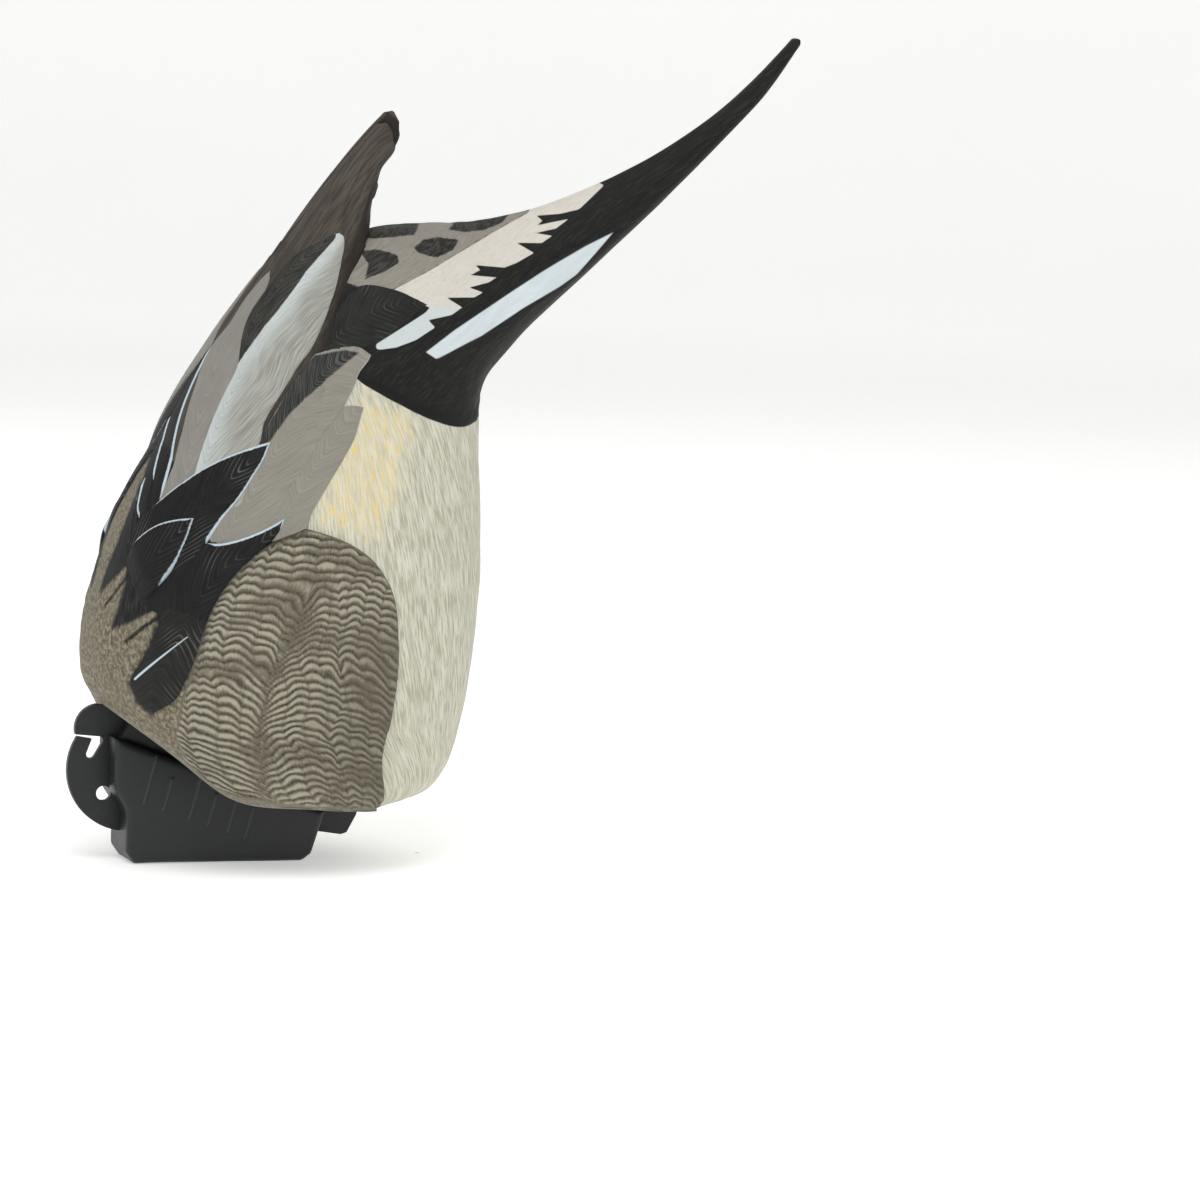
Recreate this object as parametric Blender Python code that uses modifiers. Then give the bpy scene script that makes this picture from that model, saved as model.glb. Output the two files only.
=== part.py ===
"""Upended pintail drake decoy: hollow floating body, keel with ballast, and the fasteners between them.

Metres, +Z up. The keel stands on its flat foot at z = 0, with the origin at the foot's centre.
The back is towards -X, the belly and the tail towards +X, and y = 0 is the plane of symmetry.
Lengths below are written in millimetres and scaled once, by MM.
"""
import math

import bmesh
import bpy
from mathutils import Matrix, Vector

MM = 0.001
CLEARANCE = 0.3            # gap between pieces that touch

# Body stations, from the underside to the tip of the tail feathers. Each is a section in a plane
# that holds the Y axis: back point x, z, belly point x, z, half width, place of the greatest width
# (-1 back, +1 belly), roundness of the back and belly halves, and how far the sides hang down.
BODY_STATIONS = [
    (-48, 66, 70, 24, 58, -0.08, 2.3, 2.2, 10),
    (-54, 78, 94, 34, 69, -0.04, 2.3, 2.2, 8),
    (-54, 98, 104, 60, 73, 0.00, 2.3, 2.2, 3),
    (-50, 118, 109, 92, 73, 0.00, 2.2, 2.2, 0),
    (-42, 142, 111, 122, 69, 0.00, 2.2, 2.2, 0),
    (-29, 168, 111, 148, 62, -0.02, 2.1, 2.2, 0),
    (-12, 196, 110, 170, 54, -0.02, 2.1, 2.2, 0),
    (10, 222, 110, 186, 46, 0.00, 2.1, 2.2, 0),
    (37, 246, 111, 196, 39, 0.05, 2.1, 2.2, 0),
    (62, 263, 114, 203, 33, 0.15, 2.0, 2.2, 0),
    (88, 266, 121, 211, 28, 0.30, 1.8, 2.0, 0),
    (114, 268, 131, 222, 23, 0.40, 1.6, 1.9, 0),
    (138, 274, 145, 235, 18, 0.50, 1.5, 1.8, 0),
    (163, 284, 166, 254, 13, 0.50, 1.5, 1.8, 0),
    (187, 296, 191, 277, 9, 0.40, 1.6, 1.9, 0),
    (210, 311, 215, 301, 7, 0.20, 1.8, 2.0, 0),
    (230, 328, 235, 322, 5.5, 0.0, 2.0, 2.0, 0),
    (247, 346, 250, 343, 4, 0.0, 2.0, 2.0, 0),
]
# The folded wings, from inside the back to their crossed tips.
WING_STATIONS = [
    (-32, 150, 50, 150, 58, 0.0, 2.2, 2.2, 0),
    (-22, 182, 55, 182, 55, 0.0, 2.2, 2.2, 0),
    (-4, 214, 54, 214, 42, 0.0, 2.1, 2.2, 0),
    (9, 234, 57, 234, 31, 0.0, 2.0, 2.2, 0),
    (22, 252, 61, 252, 21, 0.0, 2.0, 2.2, 0),
    (36, 272, 62, 272, 13, 0.0, 2.0, 2.2, 0),
    (49, 290, 67, 288, 8, 0.0, 2.0, 2.2, 0),
    (60, 303, 74, 298, 6, 0.0, 2.0, 2.2, 0),
    (68, 312, 76, 307, 4, 0.0, 2.0, 2.2, 0),
]
WALL = 2.4                 # blow-moulded skin
RING_POINTS = 44           # points round the outer skin
CORE_POINTS = 28           # points round the hollow
CORE_BODY_STATIONS = 13    # the hollow stops where the tail gets thin
CORE_WING_STATIONS = 6
RIM_WIDTH = 5.0            # skirt round the recessed underside
RECESS = 8.0               # depth of the recess above the base line

# The deck is the flat floor of the recess, tilted along the base line. Its axes run
# towards the belly (u), sideways (y) and down out of the body (n).
BACK_FOOT = Vector((BODY_STATIONS[0][0], 0, BODY_STATIONS[0][1]))
BELLY_FOOT = Vector((BODY_STATIONS[0][2], 0, BODY_STATIONS[0][3]))
DECK_U = (BELLY_FOOT - BACK_FOOT).normalized()
DECK_UP = Vector((-DECK_U.z, 0, DECK_U.x))
DECK_CENTRE = (BACK_FOOT + BELLY_FOOT) / 2 + DECK_UP * RECESS

GASKET_THICKNESS = 1.2
FLANGE_THICKNESS = 3.0
FLANGE_HALF_WIDTH = 28.0
FLANGE_BACK = -42.0        # along u
FLANGE_FRONT = 34.0
FLANGE_CORNER = 9.0
NECK_HALF_WIDTH = 9.0
NECK_BACK = -34.0
NECK_FRONT = 27.0
GASKET_TOP = CLEARANCE
GASKET_BOTTOM = GASKET_TOP + GASKET_THICKNESS
FLANGE_TOP = GASKET_BOTTOM + CLEARANCE
FLANGE_BOTTOM = FLANGE_TOP + FLANGE_THICKNESS

# Ballast block of the keel, in side view.
BLOCK_HALF_WIDTH = 16.0
BLOCK_WALL = 2.6
BLOCK_ROUND = 4.0
FOOT_BACK = -36.0
FOOT_FRONT = 36.0
BLOCK_TOP_BACK = 53.0      # height of the block's top edge at its back end
BLOCK_BACK = -45.0
BLOCK_WAIST = -39.5        # the back end steps in beside the line hole
FRONT_LEAN = 0.3           # the front end leans out by this much for each unit of height
BALLAST_FILL = 0.86        # the ballast fills this much of the chamber's height

# Web in the plane of symmetry, for the anchor line.
WEB_HALF_THICKNESS = 1.8
LOBE_CENTRE = (-36.0, 38.0)
LOBE_RADIUS = 26.0
HORN_CENTRE = (-48.5, 55.0)
HORN_RADIUS = 10.5
LINE_HOLE_CENTRE = (-46.5, 28.0)
LINE_HOLE_RADIUS = 3.1
LIP_ANGLE = 147.5          # where the slit's lower lip meets the lobe
MOUTH_ANGLE = 192.0        # where its upper lip meets the horn
SLIT_LIP = (-51.8, 50.9)
HOOK_START = (-49.0, 50.0)
HOOK_END = (-52.2, 44.6)
HOOK_RADIUS = 1.9
REAR_TAB = [(30, 34), (64, 23.5), (62.5, 17), (58.5, 9.6), (56, 8.8), (38, 11.5)]

SCREW_U = (-36.0, 28.0)
SCREW_Y = 21.5
SCREW_SHANK_RADIUS = 1.9
SCREW_HEAD_RADIUS = 4.0
SCREW_HEAD_HEIGHT = 2.6
SCREW_LENGTH = 17.0
SCREW_RECESS = (4.4, 1.0, 1.3)     # cross recess: length, width, depth
WASHER_RADIUS = 4.8
WASHER_THICKNESS = 1.2
BOSS_RADIUS = 6.0
BOSS_HEIGHT = 16.0
FILL_U = -2.0
FILL_RADIUS = 5.0
FILL_HEAD_RADIUS = 7.0
FILL_HEAD = 1.6
BLOW_HOLE_U = 47.0
BLOW_HOLE_RADIUS = 5.0
BLOW_PLUG_HEAD_RADIUS = 7.5
BLOW_PLUG_HEAD = 1.8
ROUND_STEPS = 24


def clear_scene():
    for obj in list(bpy.data.objects):
        bpy.data.objects.remove(obj, do_unlink=True)


clear_scene()
PARTS = bpy.data.collections.new("duck_decoy")
CUTTERS = bpy.data.collections.new("cutters")
for group in (PARTS, CUTTERS):
    bpy.context.scene.collection.children.link(group)


def material(name, colour, roughness, metallic=0.0):
    mat = bpy.data.materials.new(name)
    mat.use_nodes = True
    shader = mat.node_tree.nodes["Principled BSDF"]
    shader.inputs["Base Color"].default_value = (*colour, 1)
    shader.inputs["Roughness"].default_value = roughness
    shader.inputs["Metallic"].default_value = metallic
    return mat


SKIN = material("painted_body", (0.32, 0.29, 0.25), 0.6)
KEEL_PLASTIC = material("keel_plastic", (0.03, 0.033, 0.036), 0.45)
SAND = material("ballast_sand", (0.42, 0.36, 0.27), 0.9)
STAINLESS = material("stainless_steel", (0.6, 0.6, 0.6), 0.3, 1.0)
SEAL_RUBBER = material("seal_rubber", (0.02, 0.02, 0.02), 0.8)
PLUG_PLASTIC = material("plug_plastic", (0.05, 0.05, 0.05), 0.5)


# ---- shape helpers -------------------------------------------------------------------------

def add_mesh(name, mesh, mat, collection=PARTS):
    obj = bpy.data.objects.new(name, mesh)
    collection.objects.link(obj)
    if mat:
        obj.data.materials.append(mat)
    return obj


def bmesh_object(name, bm, mat, collection=PARTS):
    bmesh.ops.recalc_face_normals(bm, faces=bm.faces)
    mesh = bpy.data.meshes.new(name)
    bm.to_mesh(mesh)
    bm.free()
    return add_mesh(name, mesh, mat, collection)


def section_ring(station, count):
    """Points round one section, from the back round the left side (-Y) to the belly and on."""
    back_x, back_z, belly_x, belly_z, half, widest, back_round, belly_round, hang = station
    points = []
    for i in range(count):
        angle = 2 * math.pi * i / count
        c = math.cos(angle)
        s = math.sin(angle)
        power = 2 / (back_round if c > 0 else belly_round)
        along = -math.copysign(abs(c) ** power, c)
        side = -math.copysign(abs(s) ** power, s)
        reach = 1 + widest if along < 0 else 1 - widest
        k = (widest + reach * along + 1) / 2
        points.append(Vector((
            back_x + (belly_x - back_x) * k,
            side * half,
            back_z + (belly_z - back_z) * k - hang * side * side,
        )) * MM)
    return points


def smooth_stations(stations, steps=2):
    """Catmull-Rom curve through the stations, each number on its own."""
    rows = [list(row) for row in stations]
    first = [2 * a - b for a, b in zip(rows[0], rows[1])]
    last = [2 * a - b for a, b in zip(rows[-1], rows[-2])]
    rows = [first] + rows + [last]
    out = []
    for p0, p1, p2, p3 in zip(rows, rows[1:], rows[2:], rows[3:]):
        for k in range(steps):
            u = k / steps
            out.append([
                0.5 * (2 * b + (c - a) * u + (2 * a - 5 * b + 4 * c - d) * u ** 2
                       + (3 * b - a - 3 * c + d) * u ** 3)
                for a, b, c, d in zip(p0, p1, p2, p3)
            ])
    out.append(rows[-2])
    return out


def inset_station(station, inset, lift=0.0, hang=None):
    """The same section with its outline moved in, and raised along the section's own normal."""
    back_x, back_z, belly_x, belly_z, half, widest, back_round, belly_round, old_hang = station
    back = Vector((back_x, 0, back_z))
    belly = Vector((belly_x, 0, belly_z))
    along = (belly - back).normalized()
    up = Vector((-along.z, 0, along.x))
    back += along * inset + up * lift
    belly += -along * inset + up * lift
    new_hang = old_hang if hang is None else hang
    return (back.x, back.z, belly.x, belly.z, half - inset, widest, back_round, belly_round, new_hang)


def loft(name, stations, count, mat, collection=PARTS):
    bm = bmesh.new()
    rings = [[bm.verts.new(p) for p in section_ring(row, count)] for row in stations]
    for low, high in zip(rings, rings[1:]):
        for i in range(count):
            j = (i + 1) % count
            bm.faces.new((low[i], low[j], high[j], high[i]))
    bm.faces.new(rings[0])
    bm.faces.new(rings[-1])
    bmesh.ops.triangulate(bm, faces=bm.faces)
    return bmesh_object(name, bm, mat, collection)


def arc(centre, radius, start, end, steps):
    """Points of an arc, with angles in degrees."""
    points = []
    for i in range(steps + 1):
        a = math.radians(start + (end - start) * i / steps)
        points.append((centre[0] + radius * math.cos(a), centre[1] + radius * math.sin(a)))
    return points


def plate(name, outline, half_thickness, mat, collection=PARTS, matrix=None, holes=()):
    """A flat outline in the XZ plane (or in a given frame's XY plane), given thickness both ways."""
    curve = bpy.data.curves.new(name, "CURVE")
    curve.dimensions = "2D"
    curve.fill_mode = "BOTH"
    curve.extrude = half_thickness * MM
    for loop in (outline, *holes):
        spline = curve.splines.new("POLY")
        spline.points.add(len(loop) - 1)
        for point, (x, y) in zip(spline.points, loop):
            point.co = (x * MM, y * MM, 0, 1)
        spline.use_cyclic_u = True
    source = bpy.data.objects.new(name + "_outline", curve)
    CUTTERS.objects.link(source)
    source.matrix_world = matrix or Matrix.Rotation(math.pi / 2, 4, "X")
    bpy.context.view_layer.update()
    graph = bpy.context.evaluated_depsgraph_get()
    mesh = bpy.data.meshes.new_from_object(source.evaluated_get(graph))
    mesh.transform(source.matrix_world)
    bpy.data.objects.remove(source)
    bm = bmesh.new()
    bm.from_mesh(mesh)
    bmesh.ops.remove_doubles(bm, verts=bm.verts, dist=1e-6)
    bmesh.ops.dissolve_limit(bm, angle_limit=0.001, verts=bm.verts, edges=bm.edges)
    return bmesh_object(name, bm, mat, collection)


def deck_matrix(u=0.0, y=0.0, n=0.0):
    """Frame on the deck: its X runs along u, its Y sideways, and its Z down out of the body."""
    place = (DECK_CENTRE + DECK_U * u - DECK_UP * n) * MM + Vector((0, y * MM, 0))
    turn = Matrix((DECK_U, Vector((0, -1, 0)), -DECK_UP)).transposed().to_4x4()
    return Matrix.Translation(place) @ turn


def turned(name, profile, matrix, mat, collection=PARTS, closed=False):
    """A profile of (radius, depth) points, turned about the deck's normal with a Screw modifier."""
    mesh = bpy.data.meshes.new(name)
    count = len(profile)
    edges = [(i, i + 1) for i in range(count - 1)]
    if closed:
        edges.append((count - 1, 0))
    mesh.from_pydata([(r * MM, 0, z * MM) for r, z in profile], edges, [])
    obj = add_mesh(name, mesh, mat, collection)
    obj.matrix_world = matrix
    screw = obj.modifiers.new("turn", "SCREW")
    screw.axis = "Z"
    screw.steps = ROUND_STEPS
    screw.render_steps = ROUND_STEPS
    screw.use_merge_vertices = True
    screw.merge_threshold = 0.00001
    screw.use_normal_calculate = False
    return obj


def boolean(target, cutter, operation):
    mod = target.modifiers.new(operation.lower() + "_" + cutter.name, "BOOLEAN")
    mod.operation = operation
    mod.solver = "EXACT"
    mod.object = cutter
    cutter.hide_render = True
    cutter.display_type = "WIRE"


def deck_drill(name, u, y, top, bottom, radius):
    """A cylinder across the deck, from top to bottom measured down out of the body."""
    profile = [(0, bottom), (radius, bottom), (radius, top), (0, top)]
    return turned(name, profile, deck_matrix(u, y), None, CUTTERS)


def rounded_rectangle(x0, x1, half, radius, steps=5):
    corners = [
        ((x1 - radius, half - radius), 0), ((x0 + radius, half - radius), 90),
        ((x0 + radius, -half + radius), 180), ((x1 - radius, -half + radius), 270),
    ]
    points = []
    for centre, start in corners:
        points += arc(centre, radius, start, start + 90, steps)
    return points


SCREW_PLACES = [(u, side * SCREW_Y) for u in SCREW_U for side in (-1, 1)]


# ---- body ----------------------------------------------------------------------------------

def make_body_shell():
    floor = inset_station(BODY_STATIONS[0], RIM_WIDTH + 1, lift=RECESS, hang=0)
    skirt = inset_station(BODY_STATIONS[0], RIM_WIDTH)
    stations = [floor, skirt] + smooth_stations(BODY_STATIONS)
    body = loft("body_shell", stations, RING_POINTS, SKIN)
    wings = loft("wing_form", smooth_stations(WING_STATIONS), RING_POINTS, None, CUTTERS)
    boolean(body, wings, "UNION")

    core_floor = inset_station(BODY_STATIONS[0], RIM_WIDTH + 1 + WALL, lift=RECESS + WALL, hang=0)
    core_rows = [inset_station(row, WALL) for row in smooth_stations(BODY_STATIONS[1:CORE_BODY_STATIONS])]
    core = loft("body_core", [core_floor] + core_rows[1:], CORE_POINTS, None, CUTTERS)
    boolean(body, core, "DIFFERENCE")
    wing_rows = smooth_stations([inset_station(row, WALL) for row in WING_STATIONS[:CORE_WING_STATIONS]])
    wing_core = loft("wing_core", wing_rows, CORE_POINTS, None, CUTTERS)
    boolean(body, wing_core, "DIFFERENCE")

    for index, (u, y) in enumerate(SCREW_PLACES, 1):
        boss = deck_drill(f"boss_{index}", u, y, -BOSS_HEIGHT, -WALL / 2, BOSS_RADIUS)
        boolean(body, boss, "UNION")
        pilot = deck_drill(
            f"pilot_{index}", u, y, -BOSS_HEIGHT + WALL, 1, SCREW_SHANK_RADIUS + CLEARANCE)
        boolean(body, pilot, "DIFFERENCE")
    blow_hole = deck_drill("blow_hole", BLOW_HOLE_U, 0, -2 * WALL, 1, BLOW_HOLE_RADIUS)
    boolean(body, blow_hole, "DIFFERENCE")
    body.data.shade_smooth()
    return body


def make_blow_plug():
    shank = BLOW_HOLE_RADIUS - CLEARANCE
    profile = [
        (0, CLEARANCE + BLOW_PLUG_HEAD), (BLOW_PLUG_HEAD_RADIUS - 1, CLEARANCE + BLOW_PLUG_HEAD),
        (BLOW_PLUG_HEAD_RADIUS, CLEARANCE + BLOW_PLUG_HEAD / 2), (BLOW_PLUG_HEAD_RADIUS, CLEARANCE),
        (shank, CLEARANCE), (shank, -WALL - 2), (shank - 1, -WALL - 4), (0, -WALL - 4),
    ]
    return turned("body_plug", profile, deck_matrix(BLOW_HOLE_U), PLUG_PLASTIC)


# ---- keel ----------------------------------------------------------------------------------

def deck_line(x, n):
    """Height of the plane parallel to the deck, n below it, at x."""
    point = DECK_CENTRE - DECK_UP * n
    return point.z + (x - point.x) * DECK_U.z / DECK_U.x


def block_outline(inset=0.0, fill=1.0):
    """Side view of the ballast block: flat foot, waist at the back, top parallel to the deck."""
    back = BLOCK_BACK + inset
    waist = BLOCK_WAIST + inset
    foot = inset
    heel_x = FOOT_FRONT + 4 - inset
    heel_z = foot + 3
    slope = DECK_U.z / DECK_U.x
    top_back = foot + (BLOCK_TOP_BACK - 2 * inset) * fill
    top_front = top_back + slope * (heel_x - FRONT_LEAN * heel_z - back)
    top_front /= 1 - slope * FRONT_LEAN
    return [
        (FOOT_BACK + inset / 2, foot), (FOOT_FRONT - inset / 2, foot), (heel_x, heel_z),
        (heel_x + FRONT_LEAN * (top_front - heel_z), top_front),
        (back, top_back), (back, 34), (waist, 22), (waist, foot + 5),
    ]


def make_web():
    """The line web, with its round hole and the slit that leads into a hook."""
    base_line = RECESS + 0.5
    lean = math.degrees(math.atan2(HOOK_END[1] - HOOK_START[1], HOOK_END[0] - HOOK_START[0]))
    outline = arc(LOBE_CENTRE, LOBE_RADIUS, 270, LIP_ANGLE, 14)
    outline += [SLIT_LIP]
    outline += arc(HOOK_END, HOOK_RADIUS, lean - 90, lean + 90, 8)
    outline += arc(HOOK_START, HOOK_RADIUS, lean + 90, 90, 6)
    outline += arc(HORN_CENTRE, HORN_RADIUS, MOUTH_ANGLE, 96, 9)
    outline += [(-46, deck_line(-46, base_line)), (-30, deck_line(-30, base_line)), (-30, 12)]
    hole = arc(LINE_HOLE_CENTRE, LINE_HOLE_RADIUS, 0, 345, 23)
    return plate("web", outline, WEB_HALF_THICKNESS, None, CUTTERS, holes=[hole])


def make_keel_shell():
    keel = plate("keel_shell", block_outline(), BLOCK_HALF_WIDTH, KEEL_PLASTIC)
    bevel = keel.modifiers.new("round", "BEVEL")
    bevel.width = BLOCK_ROUND * MM
    bevel.segments = 3
    bevel.limit_method = "ANGLE"
    bevel.angle_limit = math.radians(50)

    neck = plate(
        "neck", [(NECK_BACK, 0), (NECK_FRONT, 0), (NECK_FRONT + 4, 26), (NECK_BACK - 4, 26)],
        NECK_HALF_WIDTH, None, CUTTERS,
        Matrix.Translation(DECK_CENTRE * MM - DECK_UP * (FLANGE_TOP + 1) * MM)
        @ Matrix((DECK_U, -DECK_UP, Vector((0, 1, 0)))).transposed().to_4x4())
    boolean(keel, neck, "UNION")
    flange = plate(
        "flange", rounded_rectangle(FLANGE_BACK, FLANGE_FRONT, FLANGE_HALF_WIDTH, FLANGE_CORNER),
        FLANGE_THICKNESS / 2, None, CUTTERS, deck_matrix(n=FLANGE_TOP + FLANGE_THICKNESS / 2))
    boolean(keel, flange, "UNION")

    boolean(keel, make_web(), "UNION")
    tab_plate = plate("rear_tab", REAR_TAB, WEB_HALF_THICKNESS, None, CUTTERS)
    boolean(keel, tab_plate, "UNION")

    chamber = plate("chamber", block_outline(BLOCK_WALL), BLOCK_HALF_WIDTH - BLOCK_WALL, None, CUTTERS)
    boolean(keel, chamber, "DIFFERENCE")
    seat = FLANGE_TOP + FILL_HEAD + CLEARANCE
    seat_radius = FILL_HEAD_RADIUS + CLEARANCE
    fill_profile = [
        (0, 24), (FILL_RADIUS, 24), (FILL_RADIUS, seat), (seat_radius, seat), (seat_radius, 0), (0, 0),
    ]
    fill_hole = turned("fill_hole", fill_profile, deck_matrix(FILL_U), None, CUTTERS)
    boolean(keel, fill_hole, "DIFFERENCE")
    for index, (u, y) in enumerate(SCREW_PLACES, 1):
        drill = deck_drill(f"flange_hole_{index}", u, y, 0, 8, SCREW_SHANK_RADIUS + CLEARANCE)
        boolean(keel, drill, "DIFFERENCE")
    return keel


def make_ballast():
    gap = BLOCK_WALL + CLEARANCE
    return plate(
        "keel_ballast", block_outline(gap, BALLAST_FILL), BLOCK_HALF_WIDTH - gap, SAND)


def make_fill_plug():
    shank = FILL_RADIUS - CLEARANCE
    top = FLANGE_TOP
    profile = [
        (0, top + 12), (shank - 1, top + 12), (shank, top + 10), (shank, top + FILL_HEAD),
        (FILL_HEAD_RADIUS, top + FILL_HEAD), (FILL_HEAD_RADIUS, top), (0, top),
    ]
    return turned("keel_fill_plug", profile, deck_matrix(FILL_U), PLUG_PLASTIC)


def make_gasket():
    gasket = plate(
        "keel_gasket",
        rounded_rectangle(FLANGE_BACK, FLANGE_FRONT, FLANGE_HALF_WIDTH, FLANGE_CORNER),
        GASKET_THICKNESS / 2, SEAL_RUBBER, PARTS, deck_matrix(n=GASKET_TOP + GASKET_THICKNESS / 2))
    for index, (u, y) in enumerate(SCREW_PLACES, 1):
        hole = deck_drill(f"gasket_hole_{index}", u, y, -1, 3, SCREW_SHANK_RADIUS + CLEARANCE)
        boolean(gasket, hole, "DIFFERENCE")
    return gasket


# ---- fasteners -----------------------------------------------------------------------------

def make_washer(index, u, y):
    top = FLANGE_BOTTOM + CLEARANCE
    inner = SCREW_SHANK_RADIUS + CLEARANCE
    profile = [
        (inner, top), (inner, top + WASHER_THICKNESS),
        (WASHER_RADIUS, top + WASHER_THICKNESS), (WASHER_RADIUS, top),
    ]
    return turned(f"seal_washer_{index}", profile, deck_matrix(u, y), SEAL_RUBBER, closed=True)


def make_screw(index, u, y):
    seat = FLANGE_BOTTOM + 2 * CLEARANCE + WASHER_THICKNESS
    head = seat + SCREW_HEAD_HEIGHT
    profile = [
        (0, head), (SCREW_HEAD_RADIUS * 0.5, head - 0.1), (SCREW_HEAD_RADIUS * 0.85, head - 0.7),
        (SCREW_HEAD_RADIUS, head - 1.7), (SCREW_HEAD_RADIUS, seat), (SCREW_SHANK_RADIUS, seat),
        (SCREW_SHANK_RADIUS, seat - SCREW_LENGTH + 3), (0, seat - SCREW_LENGTH),
    ]
    screw = turned(f"keel_screw_{index}", profile, deck_matrix(u, y), STAINLESS)
    length, width, depth = SCREW_RECESS
    for turn in (0, 90):
        bpy.ops.mesh.primitive_cube_add(size=1)
        slot = bpy.context.object
        slot.name = f"recess_{index}_{turn}"
        for owner in list(slot.users_collection):
            owner.objects.unlink(slot)
        CUTTERS.objects.link(slot)
        scale = Matrix.Diagonal((length * MM, width * MM, 2 * depth * MM, 1))
        slot.data.transform(scale)
        slot.matrix_world = deck_matrix(u, y, head) @ Matrix.Rotation(math.radians(turn), 4, "Z")
        boolean(screw, slot, "DIFFERENCE")
    return screw


make_body_shell()
make_blow_plug()
make_keel_shell()
make_ballast()
make_fill_plug()
make_gasket()
for number, (place_u, place_y) in enumerate(SCREW_PLACES, 1):
    make_washer(number, place_u, place_y)
    make_screw(number, place_u, place_y)
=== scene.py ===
"""Visual model of the upended pintail drake decoy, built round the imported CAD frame.

Shapes are worked out in millimetres and scaled once, by MM, when a mesh is made. The frame is the
CAD's own: +Z up, the back towards -X, the belly and the tail towards +X, y = 0 the plane of
symmetry. Places on the skin are given as (degrees, height): the angle is measured from the back
(-X) round the left side (-Y) about a leaning axis inside the body. The left side is built, and the
right side mirrors it.
"""
import itertools
import math

import bmesh
import bpy
import numpy as np
from mathutils import Matrix, Vector
from mathutils.bvhtree import BVHTree


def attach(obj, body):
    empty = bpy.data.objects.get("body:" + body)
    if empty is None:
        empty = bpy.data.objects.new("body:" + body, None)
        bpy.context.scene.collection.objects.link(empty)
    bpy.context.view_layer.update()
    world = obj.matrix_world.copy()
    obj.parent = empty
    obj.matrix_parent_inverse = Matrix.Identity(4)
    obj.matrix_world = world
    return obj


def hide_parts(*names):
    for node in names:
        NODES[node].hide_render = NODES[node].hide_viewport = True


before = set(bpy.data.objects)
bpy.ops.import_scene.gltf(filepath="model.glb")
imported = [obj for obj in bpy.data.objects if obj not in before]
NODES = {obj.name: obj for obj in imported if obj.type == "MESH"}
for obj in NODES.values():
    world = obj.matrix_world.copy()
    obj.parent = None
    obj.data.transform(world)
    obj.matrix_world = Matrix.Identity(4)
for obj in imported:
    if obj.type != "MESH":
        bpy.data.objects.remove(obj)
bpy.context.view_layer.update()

MM = 0.001

# The form of the decoy, as in the CAD: back point x, z, belly point x, z, half width, place of the
# greatest width (-1 back, +1 belly), roundness of the back and belly halves, hang of the sides.
BODY_STATIONS = np.array([
    (-48, 66, 70, 24, 58, -0.08, 2.3, 2.2, 10),
    (-54, 78, 94, 34, 69, -0.04, 2.3, 2.2, 8),
    (-54, 98, 104, 60, 73, 0.00, 2.3, 2.2, 3),
    (-50, 118, 109, 92, 73, 0.00, 2.2, 2.2, 0),
    (-42, 142, 111, 122, 69, 0.00, 2.2, 2.2, 0),
    (-29, 168, 111, 148, 62, -0.02, 2.1, 2.2, 0),
    (-12, 196, 110, 170, 54, -0.02, 2.1, 2.2, 0),
    (10, 222, 110, 186, 46, 0.00, 2.1, 2.2, 0),
    (37, 246, 111, 196, 39, 0.05, 2.1, 2.2, 0),
    (62, 263, 114, 203, 33, 0.15, 2.0, 2.2, 0),
    (88, 266, 121, 211, 28, 0.30, 1.8, 2.0, 0),
    (114, 268, 131, 222, 23, 0.40, 1.6, 1.9, 0),
    (138, 274, 145, 235, 18, 0.50, 1.5, 1.8, 0),
    (163, 284, 166, 254, 13, 0.50, 1.5, 1.8, 0),
    (187, 296, 191, 277, 9, 0.40, 1.6, 1.9, 0),
    (210, 311, 215, 301, 7, 0.20, 1.8, 2.0, 0),
    (230, 328, 235, 322, 5.5, 0.0, 2.0, 2.0, 0),
    (247, 346, 250, 343, 4, 0.0, 2.0, 2.0, 0),
])
BASE = BODY_STATIONS[0]
# The folded wings in the same terms. Only the outer half of each section is used.
WING_STATIONS = np.array([
    (-32, 150, 50, 150, 58, 0.0, 2.2, 2.2, 0),
    (-22, 182, 55, 182, 55, 0.0, 2.2, 2.2, 0),
    (-4, 214, 54, 214, 42, 0.0, 2.1, 2.2, 0),
    (9, 234, 57, 234, 31, 0.0, 2.0, 2.2, 0),
    (22, 252, 61, 252, 21, 0.0, 2.0, 2.2, 0),
    (36, 272, 62, 272, 13, 0.0, 2.0, 2.2, 0),
    (49, 290, 67, 288, 8, 0.0, 2.0, 2.2, 0),
    (60, 303, 75, 299, 6, 0.0, 2.0, 2.2, 0),
    (68, 312, 76, 308, 4, 0.0, 2.0, 2.2, 0),
])
RIM_WIDTH = 5.0            # skirt round the recessed underside
RECESS = 8.0               # depth of the recess above the base line
BULGE = 0.78               # how much more the sides hang below the flanks
BULGE_AT = 0.36            # where that is, as a share of the way from back to belly
BULGE_BACK = 0.19          # how far it spreads towards the back
BULGE_BELLY = 0.24         # and towards the belly
# The leaning axis that skin angles are measured about: height, x.
AXIS_HEIGHT = (20, 60, 100, 140, 180, 214, 234, 252, 272, 290, 303, 312)
AXIS_X = (50, 28, 27, 34, 40, 38, 38, 42, 50, 58, 67, 72)
ARC = 1.1                  # millimetres of skin for each degree, about the middle of the body


# ---- curves, noise and distances -----------------------------------------------------------

def smooth(points, steps):
    """Catmull-Rom curve through the points, each number on its own."""
    rows = np.asarray(points, float)
    rows = np.vstack([2 * rows[0] - rows[1], rows, 2 * rows[-1] - rows[-2]])
    u = (np.arange(steps) / steps)[:, None]
    out = []
    for a, b, c, d in zip(rows, rows[1:], rows[2:], rows[3:]):
        out.append(0.5 * (2 * b + (c - a) * u + (2 * a - 5 * b + 4 * c - d) * u ** 2
                          + (3 * b - a - 3 * c + d) * u ** 3))
    out.append(rows[-2:-1])
    return np.vstack(out)


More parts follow.
